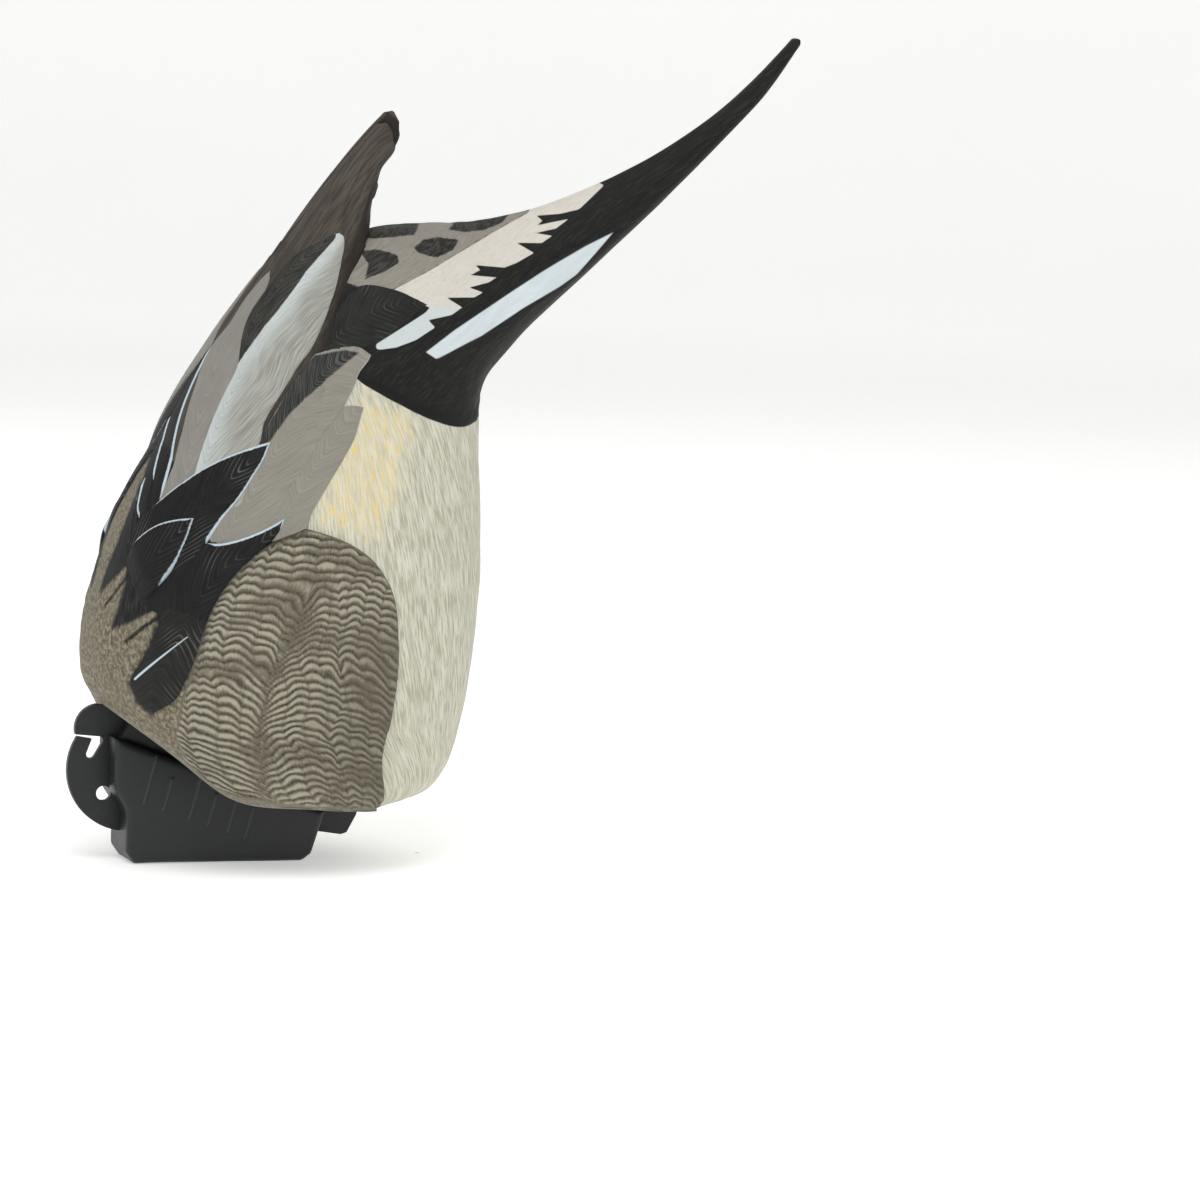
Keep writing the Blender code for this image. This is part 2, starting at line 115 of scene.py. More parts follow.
def resample(points, count):
    """The same chain with its points evenly spaced."""
    length = np.r_[0, np.cumsum(np.linalg.norm(np.diff(points, axis=0), axis=1))]
    at = np.linspace(0, length[-1], count)
    return np.stack([np.interp(at, length, column) for column in points.T], 1)


def ramp(value, low, high):
    """0 below low, 1 above high, smooth between; low may be the larger."""
    t = np.clip((value - low) / (high - low), 0, 1)
    return t * t * (3 - 2 * t)


def bump(distance, width, power=2):
    """1 at no distance, falling off over the width."""
    return np.exp(-(distance / width) ** power)


def lattice(ix, iy, iz, seed):
    """A repeatable number from 0 to 1 for each whole-number place."""
    n = (ix * 374761393 + iy * 668265263 + iz * 1440662683 + seed * 974634777) & 0xFFFFFFFF
    n = ((n ^ (n >> 13)) * 1274126177) & 0xFFFFFFFF
    return ((n ^ (n >> 16)) & 0xFFFF) / 65535


def noise(size, seed, *coordinates):
    """Smooth noise from -1 to 1. Size is the distance over which it changes, along each coordinate."""
    grid = np.broadcast_arrays(*coordinates)
    sizes = np.broadcast_to(size, (len(grid),))
    places = [g / s for g, s in zip(grid, sizes)] + [np.zeros(grid[0].shape)] * (3 - len(grid))
    whole = [np.floor(p).astype(np.int64) for p in places]
    part = [(p - w) ** 2 * (3 - 2 * (p - w)) for p, w in zip(places, whole)]
    total = 0
    for corner in itertools.product((0, 1), repeat=3):
        weight = 1
        for step, f in zip(corner, part):
            weight = weight * (f if step else 1 - f)
        total = total + weight * lattice(*(w + step for w, step in zip(whole, corner)), seed)
    return total * 2 - 1


def line_distance(x, y, line):
    """Distance to an open chain of points."""
    best = np.full(np.shape(x), 1e6)
    for (ax, ay), (bx, by) in zip(line, line[1:]):
        dx, dy = bx - ax, by - ay
        t = np.clip(((x - ax) * dx + (y - ay) * dy) / (dx * dx + dy * dy + 1e-9), 0, 1)
        best = np.minimum(best, np.hypot(x - ax - t * dx, y - ay - t * dy))
    return best


def area_distance(x, y, outline):
    """Distance to a closed outline, negative inside it."""
    closed = list(outline) + [outline[0]]
    inside = np.zeros(np.shape(x), bool)
    for (ax, ay), (bx, by) in zip(closed, closed[1:]):
        crosses = (ay > y) != (by > y)
        at = ax + (y - ay) * (bx - ax) / (by - ay if by != ay else 1e-9)
        inside ^= crosses & (x < at)
    distance = line_distance(x, y, closed)
    return np.where(inside, -distance, distance)


def least(distances):
    """The smallest of several distances at each point."""
    return np.minimum.reduce(list(distances))


def skin_line(points):
    """(degrees, height) points in millimetres of skin."""
    return [(degrees * ARC, height) for degrees, height in points]


def value_at(first, line):
    """The second number along a line of pairs, where the first is the one given."""
    return np.interp(first, *zip(*line))


def across_at(z, line):
    """Where a (degrees, height) line lies across the skin at height z, in millimetres."""
    return np.interp(z, [p[1] for p in line], [p[0] * ARC for p in line])


# ---- the form --------------------------------------------------------------------------------

def section(station, angles):
    """Points of one section at the given angles, from the back round the left side."""
    back_x, back_z, belly_x, belly_z, half, widest, back_round, belly_round, hang = station
    c = np.cos(angles)
    s = np.sin(angles)
    power = 2 / np.where(c > 0, back_round, belly_round)
    along = -np.sign(c) * np.abs(c) ** power
    side = -np.sign(s) * np.abs(s) ** power
    reach = np.where(along < 0, 1 + widest, 1 - widest)
    k = (widest + reach * along + 1) / 2
    bell = bump(k - BULGE_AT, np.where(k < BULGE_AT, BULGE_BACK, BULGE_BELLY))
    drop = hang * side * side * (1 + BULGE * bell)
    return np.stack([back_x + (belly_x - back_x) * k, side * half,
                     back_z + (belly_z - back_z) * k - drop], -1)


def inset(station, distance, lift, hang=None):
    """A section with its outline moved in, and raised along its own normal."""
    back = station[:2]
    belly = station[2:4]
    along = (belly - back) / np.linalg.norm(belly - back)
    up = np.array([-along[1], along[0]]) * lift
    in_by = along * distance
    return np.array([*(back + in_by + up), *(belly - in_by + up), station[4] - distance, *station[5:8],
                     station[8] if hang is None else hang])


def loft(stations, steps, angles):
    """Grid of points on a smooth form through the stations, a row for each step."""
    return np.stack([section(row, angles) for row in smooth(stations, steps)])


def whole_turn(count):
    """Evenly spaced angles, once round."""
    return np.arange(count) * 2 * math.pi / count


def axis_x(height):
    """Where the leaning axis is at a height."""
    return np.interp(height, AXIS_HEIGHT, AXIS_X)


def skin_angle(x, y, z):
    """Degrees from the back round the left side, about the leaning axis."""
    return np.degrees(np.arctan2(-y, axis_x(z) - x))


def grid_faces(rows, columns, wrap):
    """Faces of a grid of points, row by row, joined round when wrap is set."""
    i = np.arange(rows - 1)[:, None]
    j = np.arange(columns if wrap else columns - 1)[None, :]
    k = (j + 1) % columns
    return np.stack([i * columns + j, i * columns + k, (i + 1) * columns + k,
                     (i + 1) * columns + j], -1).reshape(-1, 4)


def tube_faces(rows, columns):
    """Faces of a grid joined round, with its first and last row closed."""
    last = (rows - 1) * columns
    caps = [list(range(columns)), list(range(last, last + columns))]
    return grid_faces(rows, columns, True).tolist() + caps


class Ground:
    """Distance of a form's outermost surface from the leaning axis, for every angle and height."""
    TURN_STEP = 1.5
    RISE_STEP = 2.0
    ANGLES = np.arange(-40, 222, TURN_STEP)
    HEIGHTS = np.arange(18, 314, RISE_STEP)
    OUTSIDE = 300              # a distance from the axis that lies outside any form

    def __init__(self, *forms):
        points = []
        faces = []
        for form in forms:
            rows, columns = form.shape[:2]
            faces += (grid_faces(rows, columns, True) + len(points)).tolist()
            points += form.reshape(-1, 3).tolist()
        tree = BVHTree.FromPolygons(points, faces)
        self.radius = np.zeros((len(self.ANGLES), len(self.HEIGHTS)))
        for i, turn in enumerate(np.radians(self.ANGLES)):
            out = Vector((-math.cos(turn), -math.sin(turn), 0))
            last = 20.0
            for j in reversed(range(len(self.HEIGHTS))):
                height = float(self.HEIGHTS[j])
                origin = Vector((float(axis_x(height)), 0, height))
                place = tree.ray_cast(origin + out * self.OUTSIDE, -out)[0]
                if place is not None and (place - origin).dot(out) > 0:
                    last = (place - origin).length
                self.radius[i, j] = last

    def at(self, degrees, height):
        """Places on the surface."""
        i = np.clip((degrees - self.ANGLES[0]) / self.TURN_STEP, 0, len(self.ANGLES) - 1.001)
        j = np.clip((height - self.HEIGHTS[0]) / self.RISE_STEP, 0, len(self.HEIGHTS) - 1.001)
        i0, j0 = i.astype(int), j.astype(int)
        fi, fj = i - i0, j - j0
        table = self.radius
        r = ((table[i0, j0] * (1 - fi) + table[i0 + 1, j0] * fi) * (1 - fj)
             + (table[i0, j0 + 1] * (1 - fi) + table[i0 + 1, j0 + 1] * fi) * fj)
        turn = np.radians(degrees)
        return np.stack([axis_x(height) - r * np.cos(turn), -r * np.sin(turn), height], -1)


BODY_FORM = loft(BODY_STATIONS, 6, whole_turn(120))
BODY_GROUND = Ground(BODY_FORM)
FULL_GROUND = Ground(BODY_FORM, loft(WING_STATIONS, 6, whole_turn(120)))


def grid_normals(points, wrap):
    """Outward normals of a grid whose columns run from the back round the left side."""
    if wrap:
        across = np.roll(points, -1, 1) - np.roll(points, 1, 1)
    else:
        across = np.gradient(points, axis=1)
    normal = np.cross(across, np.gradient(points, axis=0))
    return normal / np.maximum(np.linalg.norm(normal, axis=-1, keepdims=True), 1e-9)


def raised(points, height, wrap=False):
    """The same grid, moved outwards by a height for each point."""
    return points + grid_normals(points, wrap) * height[..., None]


# ---- meshes ----------------------------------------------------------------------------------

def add_object(name, data):
    obj = bpy.data.objects.new(name, data)
    bpy.context.scene.collection.objects.link(obj)
    return obj


def set_attribute(mesh, label, values):
    """A number for each point, or three."""
    values = np.asarray(values, np.float32)
    kind, key = ("FLOAT", "value") if values.size == len(mesh.vertices) else ("FLOAT_VECTOR", "vector")
    mesh.attributes.new(label, kind, "POINT").data.foreach_set(key, values.ravel())


def clean(mesh, merge=False):
    """Joins points that meet, if asked to, and turns the faces outwards."""
    bm = bmesh.new()
    bm.from_mesh(mesh)
    if merge:
        bmesh.ops.remove_doubles(bm, verts=bm.verts, dist=1e-6)
    bmesh.ops.recalc_face_normals(bm, faces=bm.faces)
    bm.to_mesh(mesh)
    bm.free()


def make_object(name, points, faces, material, attributes=None):
    """A smooth-shaded mesh from millimetre points, with its per-point attributes."""
    mesh = bpy.data.meshes.new(name)
    mesh.from_pydata((np.reshape(points, (-1, 3)) * MM).tolist(), [], faces)
    for label, values in (attributes or {}).items():
        set_attribute(mesh, label, values)
    mesh.materials.append(material)
    clean(mesh)
    mesh.shade_smooth()
    return add_object(name, mesh)


def mirror(mesh):
    """Turns a left-hand mesh into a right-hand one."""
    mesh.transform(Matrix.Scale(-1, 4, (0, 1, 0)))
    mesh.flip_normals()


def finish_piece(obj, node="body_shell"):
    """Puts the piece on the root body and hides the CAD node that it replaces."""
    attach(obj, "root")
    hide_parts(node)


def finish_pair(obj, name):
    """Finishes a left-hand piece and adds the right-hand one."""
    finish_piece(obj)
    mesh = obj.data.copy()
    mesh.name = name
    mirror(mesh)
    finish_piece(add_object(name, mesh))


# ---- paint -----------------------------------------------------------------------------------

def rgb(red, green, blue):
    """A display colour, 0 to 255, as the linear colour that a shader takes."""
    parts = []
    for value in (red, green, blue):
        v = value / 255
        parts.append(v / 12.92 if v <= 0.04045 else ((v + 0.055) / 1.055) ** 2.4)
    return (*parts, 1)


class Paint:
    """A material, and short calls that add its nodes and hand back their outputs."""

    def __init__(self, name, roughness=0.6, specular=0.18):
        self.material = bpy.data.materials.new(name)
        self.material.use_nodes = True
        self.tree = self.material.node_tree
        self.inputs = self.tree.nodes["Principled BSDF"].inputs
        self.inputs["Roughness"].default_value = roughness
        self.inputs["Specular IOR Level"].default_value = specular

    def node(self, kind, values, **settings):
        """A node with the given settings, and its inputs set or linked, by name or number."""
        made = self.tree.nodes.new(kind)
        for key, value in settings.items():
            setattr(made, key, value)
        for key, value in values.items():
            self.put(made.inputs[key], value)
        return made

    def put(self, socket, value):
        """Sets or links an input. A string is the name of a per-point attribute."""
        if isinstance(value, str):
            value = self.attribute(value)
        if isinstance(value, bpy.types.NodeSocket):
            self.tree.links.new(value, socket)
        else:
            socket.default_value = value

    def attribute(self, name, output="Fac"):
        return self.node("ShaderNodeAttribute", {}, attribute_name=name).outputs[output]

    def place(self):
        """Place on the object, in millimetres."""
        return self.scaled(self.node("ShaderNodeTexCoord", {}).outputs["Object"], (1 / MM,) * 3)

    def math(self, operation, a, b):
        return self.node("ShaderNodeMath", {0: a, 1: b}, operation=operation).outputs[0]

    def times(self, a, b):
        return self.math("MULTIPLY", a, b)

    def plus(self, a, b):
        return self.math("ADD", a, b)

    def scaled(self, vector, factors):
        return self.node("ShaderNodeVectorMath", {0: vector, 1: factors}, operation="MULTIPLY").outputs[0]

    def noise(self, vector, size, detail=3.0, roughness=0.55, distortion=0.0):
        """Noise about 0.5. Size is in the vector's own units, one number or one for each axis."""
        sizes = (size,) * 3 if isinstance(size, (int, float)) else size
        place = self.scaled(vector, tuple(1 / s for s in sizes))
        return self.node("ShaderNodeTexNoise", {
            "Vector": place, "Scale": 1, "Detail": detail, "Roughness": roughness,
            "Distortion": distortion}).outputs["Fac"]

    def step(self, value, low, high):
        """0 below low, 1 above high, smooth between; low may be the larger."""
        flipped = low > high
        return self.node("ShaderNodeMapRange", {
            "Value": value, "From Min": min(low, high), "From Max": max(low, high),
            "To Min": float(flipped), "To Max": float(not flipped),
        }, interpolation_type="SMOOTHSTEP").outputs["Result"]

    def mix(self, factor, a, b):
        return self.node("ShaderNodeMix", {0: factor, 6: a, 7: b}, data_type="RGBA").outputs[2]

    def blend(self, value, low, high, a, b):
        """Colour a where the value is at low, and b where it is at high."""
        return self.mix(self.step(value, low, high), a, b)

    def tint(self, colour, area, strength, other):
        """Another colour laid over part of a colour, as strongly as said."""
        return self.mix(self.times(area, strength), colour, other)

    def sway(self, value, noise, amount):
        return self.plus(value, self.times(self.math("SUBTRACT", noise, 0.5), amount))

    def shift(self, distance, amount, vector, size):
        """A distance with its edge broken up by noise."""
        return self.sway(distance, self.noise(vector, size, detail=2), amount)

    def done(self, colour, height=None, depth=0.3, roughness=None):
        """Connects the colour, a bump from height, depth mm deep, and the roughness."""
        self.put(self.inputs["Base Color"], colour)
        if roughness is not None:
            self.put(self.inputs["Roughness"], roughness)
        if height is not None:
            values = {"Distance": depth * MM, "Strength": 1.0, "Height": height}
            self.put(self.inputs["Normal"], self.node("ShaderNodeBump", values).outputs["Normal"])
        return self.material


CREAM = rgb(209, 208, 192)
CREAM_SHADE = rgb(170, 167, 147)
YELLOW = rgb(230, 197, 114)
TAUPE = rgb(120, 113, 95)
TAUPE_DARK = rgb(94, 87, 72)
TAUPE_LIGHT = rgb(148, 140, 121)
BLACK = rgb(20, 20, 20)
BLACK_LIGHT = rgb(48, 48, 47)
GREY = rgb(140, 134, 124)
FROST = rgb(190, 206, 214)
WHITE_STRIPE = rgb(209, 218, 221)
PATCH = rgb(210, 205, 196)


def body_paint():
    p = Paint("painted_skin", roughness=0.62)
    flow = p.attribute("flow", "Vector")
    place = p.place()
    fine = p.noise(flow, (0.7, 9, 2.0), detail=4)
    broad = p.noise(flow, (3.5, 30, 8))
    mottle = p.noise(place, 14)
    beads = p.noise(flow, (1.3, 1.9, 1.6), detail=2, distortion=0.4)

    cream = p.blend(fine, 0.37, 0.58, CREAM_SHADE, CREAM)
    cream = p.tint(cream, p.step(broad, 0.58, 0.36), 0.35, CREAM_SHADE)
    yellow_area = p.step(p.shift("yellow", 18, flow, (5, 11, 5)), 4, -7)
    yellow_lines = p.step(p.noise(flow, (0.75, 6, 3), distortion=0.8), 0.50, 0.68)
    wash = p.tint(cream, yellow_area, 0.4, rgb(227, 220, 190))
    cream = p.mix(p.times(yellow_area, yellow_lines), wash, YELLOW)

    taupe = p.blend(beads, 0.38, 0.66, TAUPE_DARK, TAUPE_LIGHT)
    taupe = p.tint(taupe, p.step(mottle, 0.35, 0.7), 0.5, TAUPE)
    colour = p.blend("mantle", -0.6, 0.6, taupe, cream)

    black = p.blend(fine, 0.42, 0.66, BLACK, BLACK_LIGHT)
    colour = p.blend(p.shift("scapular", 2.2, flow, (1.2, 5, 2)), 1.3, -1.3, colour, black)
    colour = p.blend(p.shift("dark_line", 1.2, flow, (1, 4, 1)), 1.4, 0.1, colour, BLACK)
    colour = p.blend("light_line", 1.6, 0.7, colour, taupe)

    rump_black = p.blend(fine, 0.45, 0.7, rgb(22, 22, 21), rgb(40, 40, 38))
    colour = p.blend("vent", 0.25, -0.25, colour, rump_black)
    grey = p.blend(fine, 0.3, 0.7, rgb(132, 128, 119), rgb(147, 142, 132))
    grey = p.tint(grey, p.step(mottle, 0.4, 0.6), 0.4, GREY)
    colour = p.blend(p.shift("grey_rump", 1.6, flow, (0.9, 4, 2)), 0.5, -0.5, colour, grey)
    spot_paint = p.blend(fine, 0.42, 0.62, rgb(36, 35, 33), rgb(64, 63, 59))
    colour = p.blend(p.shift("spots", 1.1, flow, (0.9, 5, 2)), 0.4, -0.3, colour, spot_paint)
    patch = p.blend(fine, 0.3, 0.6, rgb(202, 196, 186), PATCH)
    height = p.node("ShaderNodeSeparateXYZ", {0: place}).outputs["Z"]
    patch = p.blend(height, 236, 230, patch, rgb(198, 206, 206))
    colour = p.blend("cream_patch", 0.2, -0.2, colour, patch)
    shadow = p.step(p.shift("stripe", 2.0, flow, (0.8, 5, 2)), 1.6, -0.2)
    colour = p.tint(colour, shadow, 0.55, rgb(30, 31, 33))
    stripe_paint = p.blend(broad, 0.3, 0.7, rgb(198, 208, 212), WHITE_STRIPE)
    colour = p.blend("stripe", 0.2, -0.5, colour, stripe_paint)

    colour = p.tint(colour, p.step("rim", 3.2, 0.4), 0.55, rgb(138, 134, 124))
    underside = p.mix(mottle, rgb(58, 57, 53), rgb(84, 82, 75))
    colour = p.blend("rim", -0.5, -1.5, colour, underside)
    relief = p.plus(fine, p.times(beads, 0.5))
    return p.done(colour, relief, 0.35, p.plus(p.times(fine, 0.18), 0.52))


# ---- body ------------------------------------------------------------------------------------

VENT_EDGE = smooth([(0, 262), (60, 240), (90, 214), (100, 204), (108, 199), (119, 193), (128, 188.5),
                    (138, 185), (147, 183.8), (158, 185), (168, 187), (180, 188)], 6)
MANTLE_EDGE = [(107, 20), (106, 40), (113, 74), (114, 100), (104, 125), (70, 145), (60, 210)]
# Outlines on the tail, in side view: x, height.
GREY_RUMP = [(65, 240), (131, 271), (140, 290), (30, 300), (20, 262), (38, 245), (52, 241)]
CREAM_PATCH = [
    (131, 271), (150, 292), (164, 283), (158, 278), (152, 273), (144, 271), (134, 270), (136, 268),
    (133, 266), (147, 269), (141, 265), (132, 263), (139, 262), (134, 259), (123, 259), (130, 255),
    (122, 251), (116, 249), (103, 250), (105, 248), (100, 246), (112, 245), (108, 243), (99, 241),
    (105, 239), (101, 237), (88, 237), (95, 233), (90, 230), (79, 228), (82, 225), (73, 220),
    (64, 217), (56, 216), (55, 218), (78, 231), (80, 233), (65, 240)]
BLACK_SPOTS = [
    [(46, 272), (54, 263), (60, 260), (70, 261), (79, 262), (84, 266), (80, 272)],
    [(55, 255), (62, 256), (69, 254), (69, 251), (62, 247), (54, 244), (57, 250)],
    [(77, 257), (82, 260), (90, 261), (98, 260), (94, 256), (86, 253), (78, 255)],
    [(95, 264), (104, 270), (124, 271), (119, 267), (111, 264), (102, 263)]]
WHITE_STRIPE_EDGE = [(77, 215), (82, 212), (104, 221), (123, 232), (141, 241), (149, 246), (166, 264),
                     (153, 258), (132, 247), (109, 234), (91, 224)]
TAIL_RIDGE = [(91, 227), (132, 250), (162, 263), (182, 280), (205, 299), (232, 326)]
# Outlines on the back and belly: degrees, height.
SCAPULAR_BLACK = skin_line([
    (-4, 240), (-4, 168), (1, 167), (4.5, 161), (6, 152), (7.5, 143), (8, 134), (6, 124), (5, 115),
    (6, 112), (12, 118), (18, 124), (20, 120), (20, 110), (18.5, 99), (28, 104), (35, 109), (37, 104),
    (35.5, 96), (32, 87.5), (28, 79), (31, 71), (36, 66), (44, 73), (48.5, 83), (53, 97), (58, 112),
    (67, 132), (72, 146), (72, 214), (60, 240)])
DARK_LINES = [skin_line([(21, 122), (12, 108)]), skin_line([(37, 107), (26, 95)])]
LIGHT_LINES = [skin_line([(18, 124), (9, 107)]), skin_line([(35, 108), (21, 97)])]
YELLOW_AREA = skin_line([(101, 199), (90, 188), (85, 176), (82, 160), (81, 146), (94, 142), (106, 140),
                         (113, 156), (119, 176), (122, 190)])
TAIL_X = 0.82              # the tail's direction in side view
TAIL_Z = 0.57
FAR = 9.0                  # a distance to a mark that is not there
RING_POINTS = 288
BODY_STEPS = 18


def tail_place(x, z):
    """Distance along the tail and across it."""
    return TAIL_X * x + TAIL_Z * z, TAIL_X * z - TAIL_Z * x


def body_attributes(points, rim):
    """What the body's paint is drawn with: distances to its marks, and the way the strokes run."""
    x, y, z = np.moveaxis(points, -1, 0)
    degrees = np.abs(skin_angle(x, y, z))
    u = degrees * ARC
    vent = value_at(degrees, VENT_EDGE) - z
    tail = ramp(-vent, 0, 6)
    along, across = tail_place(x, z)
    flow = np.stack([(u + 0.2 * z) * (1 - tail) + across * tail, z * (1 - tail) + along * tail, y * tail], -1)
    return {
        "flow": flow,
        "vent": vent,
        "mantle": u - across_at(z, MANTLE_EDGE),
        "scapular": area_distance(u, z, SCAPULAR_BLACK),
        "dark_line": least(line_distance(u, z, line) for line in DARK_LINES),
        "light_line": least(line_distance(u, z, line) for line in LIGHT_LINES),
        "yellow": area_distance(u, z, YELLOW_AREA),
        "grey_rump": area_distance(x, z, GREY_RUMP),
        "spots": least(area_distance(x, z, spot) for spot in BLACK_SPOTS),
        "cream_patch": area_distance(x, z, CREAM_PATCH),
        "stripe": np.where(vent < 8, area_distance(x, z, WHITE_STRIPE_EDGE), FAR),
        "rim": rim,
    }


def body_relief(points):
    """Modelled feather texture of the skin, in millimetres outwards."""
    x, y, z = np.moveaxis(points, -1, 0)
    degrees = np.abs(skin_angle(x, y, z))
    u = degrees * ARC
    apart = u + np.sign(y) * 500            # keeps the noise of the two sides apart
    tail = ramp(z - value_at(degrees, VENT_EDGE), -2, 4)
    belly = ramp((u - across_at(z, MANTLE_EDGE)) / ARC, -4, 4) * (1 - tail)
    mantle = (1 - belly) * (1 - tail)
    strands = noise((2.6, 17), 3, apart + 0.25 * z, z) * 0.30
    strands += noise((7, 34), 4, apart + 0.2 * z, z) * 0.35
    beads = noise((3.4, 3.0), 5, apart, z) * 0.22 + noise((14, 18), 6, apart, z) * 0.5
    along, across = tail_place(x, z)
    barbs = noise((20, 2.4, 4), 7, along, across, y) * 0.30
    barbs += noise((38, 8, 9), 8, along, across, y) * 0.35
    groove = -0.8 * bump(line_distance(x, z, TAIL_RIDGE), 1.5) * ramp(np.abs(y), 2, 5)
    thin = 1 - 0.6 * ramp(along, 190, 300)
    covered = ramp(area_distance(u, z, SCAPULAR_BLACK), 3, -1)
    return (belly * strands + mantle * beads) * (1 - 0.85 * covered) + tail * (barbs * thin + groove)


def inset_rings(station, insets, angles):
    """Rings inside a section, each moved in and raised as said."""
    return np.stack([section(inset(station, distance, lift), angles) for distance, lift in insets])


def make_body_skin(material):
    """The skin from the middle of the recess, round the skirt, and up to the tip of the tail."""
    angles = whole_turn(RING_POINTS)
    outer = loft(BODY_STATIONS, BODY_STEPS, angles)
    station = np.arange(len(outer))[:, None] / BODY_STEPS
    fade = ramp(station, 0, 0.12) * ramp(len(BODY_STATIONS) - 1.05 - station, 0, 0.1)
    outer = raised(outer, body_relief(outer) * fade, wrap=True)
    from_rim = np.linalg.norm(outer - outer[0], axis=-1)

    tip = inset_rings(BODY_STATIONS[-1], [(0.5, 0.8), (1.3, 1.5)], angles)
    floor_edge = section(inset(BASE, RIM_WIDTH + 1, RECESS, hang=0), angles)
    centre = floor_edge.mean(0)
    floor = [centre + (floor_edge - centre) * k for k in (0.12, 0.3, 0.5, 0.7, 0.85, 0.95)]
    rounded = [(RIM_WIDTH, 0.4), (RIM_WIDTH - 0.8, -0.5), (RIM_WIDTH / 2, -0.9), (1.2, -0.7), (0.3, -0.3)]
    skirt = inset_rings(BASE, rounded, angles)
    wall = [floor_edge * (1 - k) + skirt[0] * k for k in (0.25, 0.5, 0.75)]
    under = np.stack([*floor, floor_edge, *wall])
    grid = np.concatenate([under, skirt, outer, tip])
    # Distance from the rim: below zero in the recess, and 0 on the skirt.
    from_rim = np.concatenate([np.full(under.shape[:2], -4.0), np.zeros(skirt.shape[:2]), from_rim,
                               np.full(tip.shape[:2], 300.0)])
    attributes = body_attributes(grid, from_rim)
    finish_piece(make_object("body_skin", grid, tube_faces(len(grid), RING_POINTS), material, attributes))


make_body_skin(body_paint())


# ---- folded wing tips ------------------------------------------------------------------------

def blade_paint():
    p = Paint("brown_primaries", roughness=0.6)
    flow = p.attribute("flow", "Vector")
    fine = p.noise(flow, (0.6, 24, 3), detail=4)
    streak = p.noise(flow, (1.8, 70, 3))
    colour = p.blend(fine, 0.36, 0.64, rgb(63, 57, 51), rgb(84, 78, 70))
    colour = p.tint(colour, p.step(streak, 0.48, 0.62), 0.35, rgb(46, 41, 36))
    # Painted shade: the front of the wing tip and all of its inner face are darkened, for the hollow where
    # the two wing tips shade each other.
    colour = p.tint(colour, p.step("front", 0.0, 1.0), 0.8, rgb(36, 30, 26))
    relief = p.plus(fine, p.times(streak, 0.6))
    return p.done(colour, relief, 0.4, p.plus(p.times(fine, 0.15), 0.5))


# Height and angle of the line in front of which the wing tip carries painted shade, for the hollow between
# the two wing tips.
BLADE_PAINTED_SHADE = [(150, 40), (198, 58), (215, 72), (235, 88), (256, 101), (270, 114), (284, 134), (298, 175)]
BLADE_STEPS = 22
BLADE_POINTS = 64
BLADE_TIP = 312            # height of the end of the wing form
VANES = 4.2                # overlapping primaries across the wing
NOTCH_HEIGHT = 279


def make_wing_blade(name, right, tip_drop, notch, material):
    """One folded wing: the outer half of the wing form, with its own rounded edge and inner face."""
    half_turn = np.linspace(0, math.pi, BLADE_POINTS)
    outer = loft(WING_STATIONS, BLADE_STEPS, half_turn)
    turn = np.broadcast_to(half_turn, outer.shape[:2])
    x, y, z = np.moveaxis(outer, -1, 0)
    station = np.arange(len(outer))[:, None] / BLADE_STEPS
    size = np.maximum(x.max(1) - x.min(1), 1)[:, None]
    across = turn / math.pi * size
    vanes = VANES * (turn / math.pi) + 0.18 * station + 0.1 * noise(30, 12, z)
    relief = 0.9 * (vanes - np.floor(vanes)) * ramp(z, 236, 262) * ramp(size, 8, 30)
    relief += 0.35 * noise((1.9, 34), 13, across + 0.15 * z, z) * ramp(z, 220, 240)
    relief *= np.minimum(ramp(turn, 0, 0.25), ramp(math.pi - turn, 0, 0.25))
    x, y, z = np.moveaxis(raised(outer, relief), -1, 0)
    x = x + notch * ramp(turn, 0.62 * math.pi, 0.8 * math.pi) * bump(z - NOTCH_HEIGHT, 4.5, 4)
    x = x + 1.1 * bump(y, 1.6) * np.cos(turn)
    drop = tip_drop * ramp(z, 280, BLADE_TIP)
    x = x - 0.8 * drop
    z = z - drop
    outer = np.stack([x, np.minimum(y - 0.25, -0.25), z], -1)
    share = np.linspace(0, 1, 10)[1:-1][None, :, None]
    inner = outer[:, -1:] * (1 - share) + outer[:, :1] * share
    grid = np.concatenate([outer, inner], 1)
    crown = grid[-1].mean(0) + np.array([0.5, 0, 1.6])
    caps = [crown + (grid[-1] - crown) * k + np.array([0.3, 0, 1.2]) * (1 - k) for k in (0.8, 0.45, 0.15)]
    grid = np.concatenate([grid, np.stack(caps)])
    shade = value_at(z, BLADE_PAINTED_SHADE)
    # front is painted shade: 1 on the inner face, and rising on the outer face in front of the painted-shade
    # line.
    front = np.zeros(grid.shape[:2])
    front[:len(outer)] = 1.0
    front[:len(outer), :BLADE_POINTS] = ramp(skin_angle(x, outer[..., 1], z), shade - 4, shade + 14)
    run = np.zeros(grid.shape[:2])
    run[:len(outer), :BLADE_POINTS] = across
    flow = np.stack([run + 0.1 * grid[..., 2], grid[..., 2], grid[..., 1]], -1)
    obj = make_object(name, grid, tube_faces(*grid.shape[:2]), material, {"flow": flow, "front": front})
    if right:
        mirror(obj.data)
    finish_piece(obj)


BLADE_MATERIAL = blade_paint()
make_wing_blade("wing_tip_left", False, 5.0, 0.0, BLADE_MATERIAL)
make_wing_blade("wing_tip_right", True, 0.0, 2.6, BLADE_MATERIAL)


# ---- feathers --------------------------------------------------------------------------------

SHEEN_REACH = 16           # how far the pale sheen spreads from the dark part or the left edge


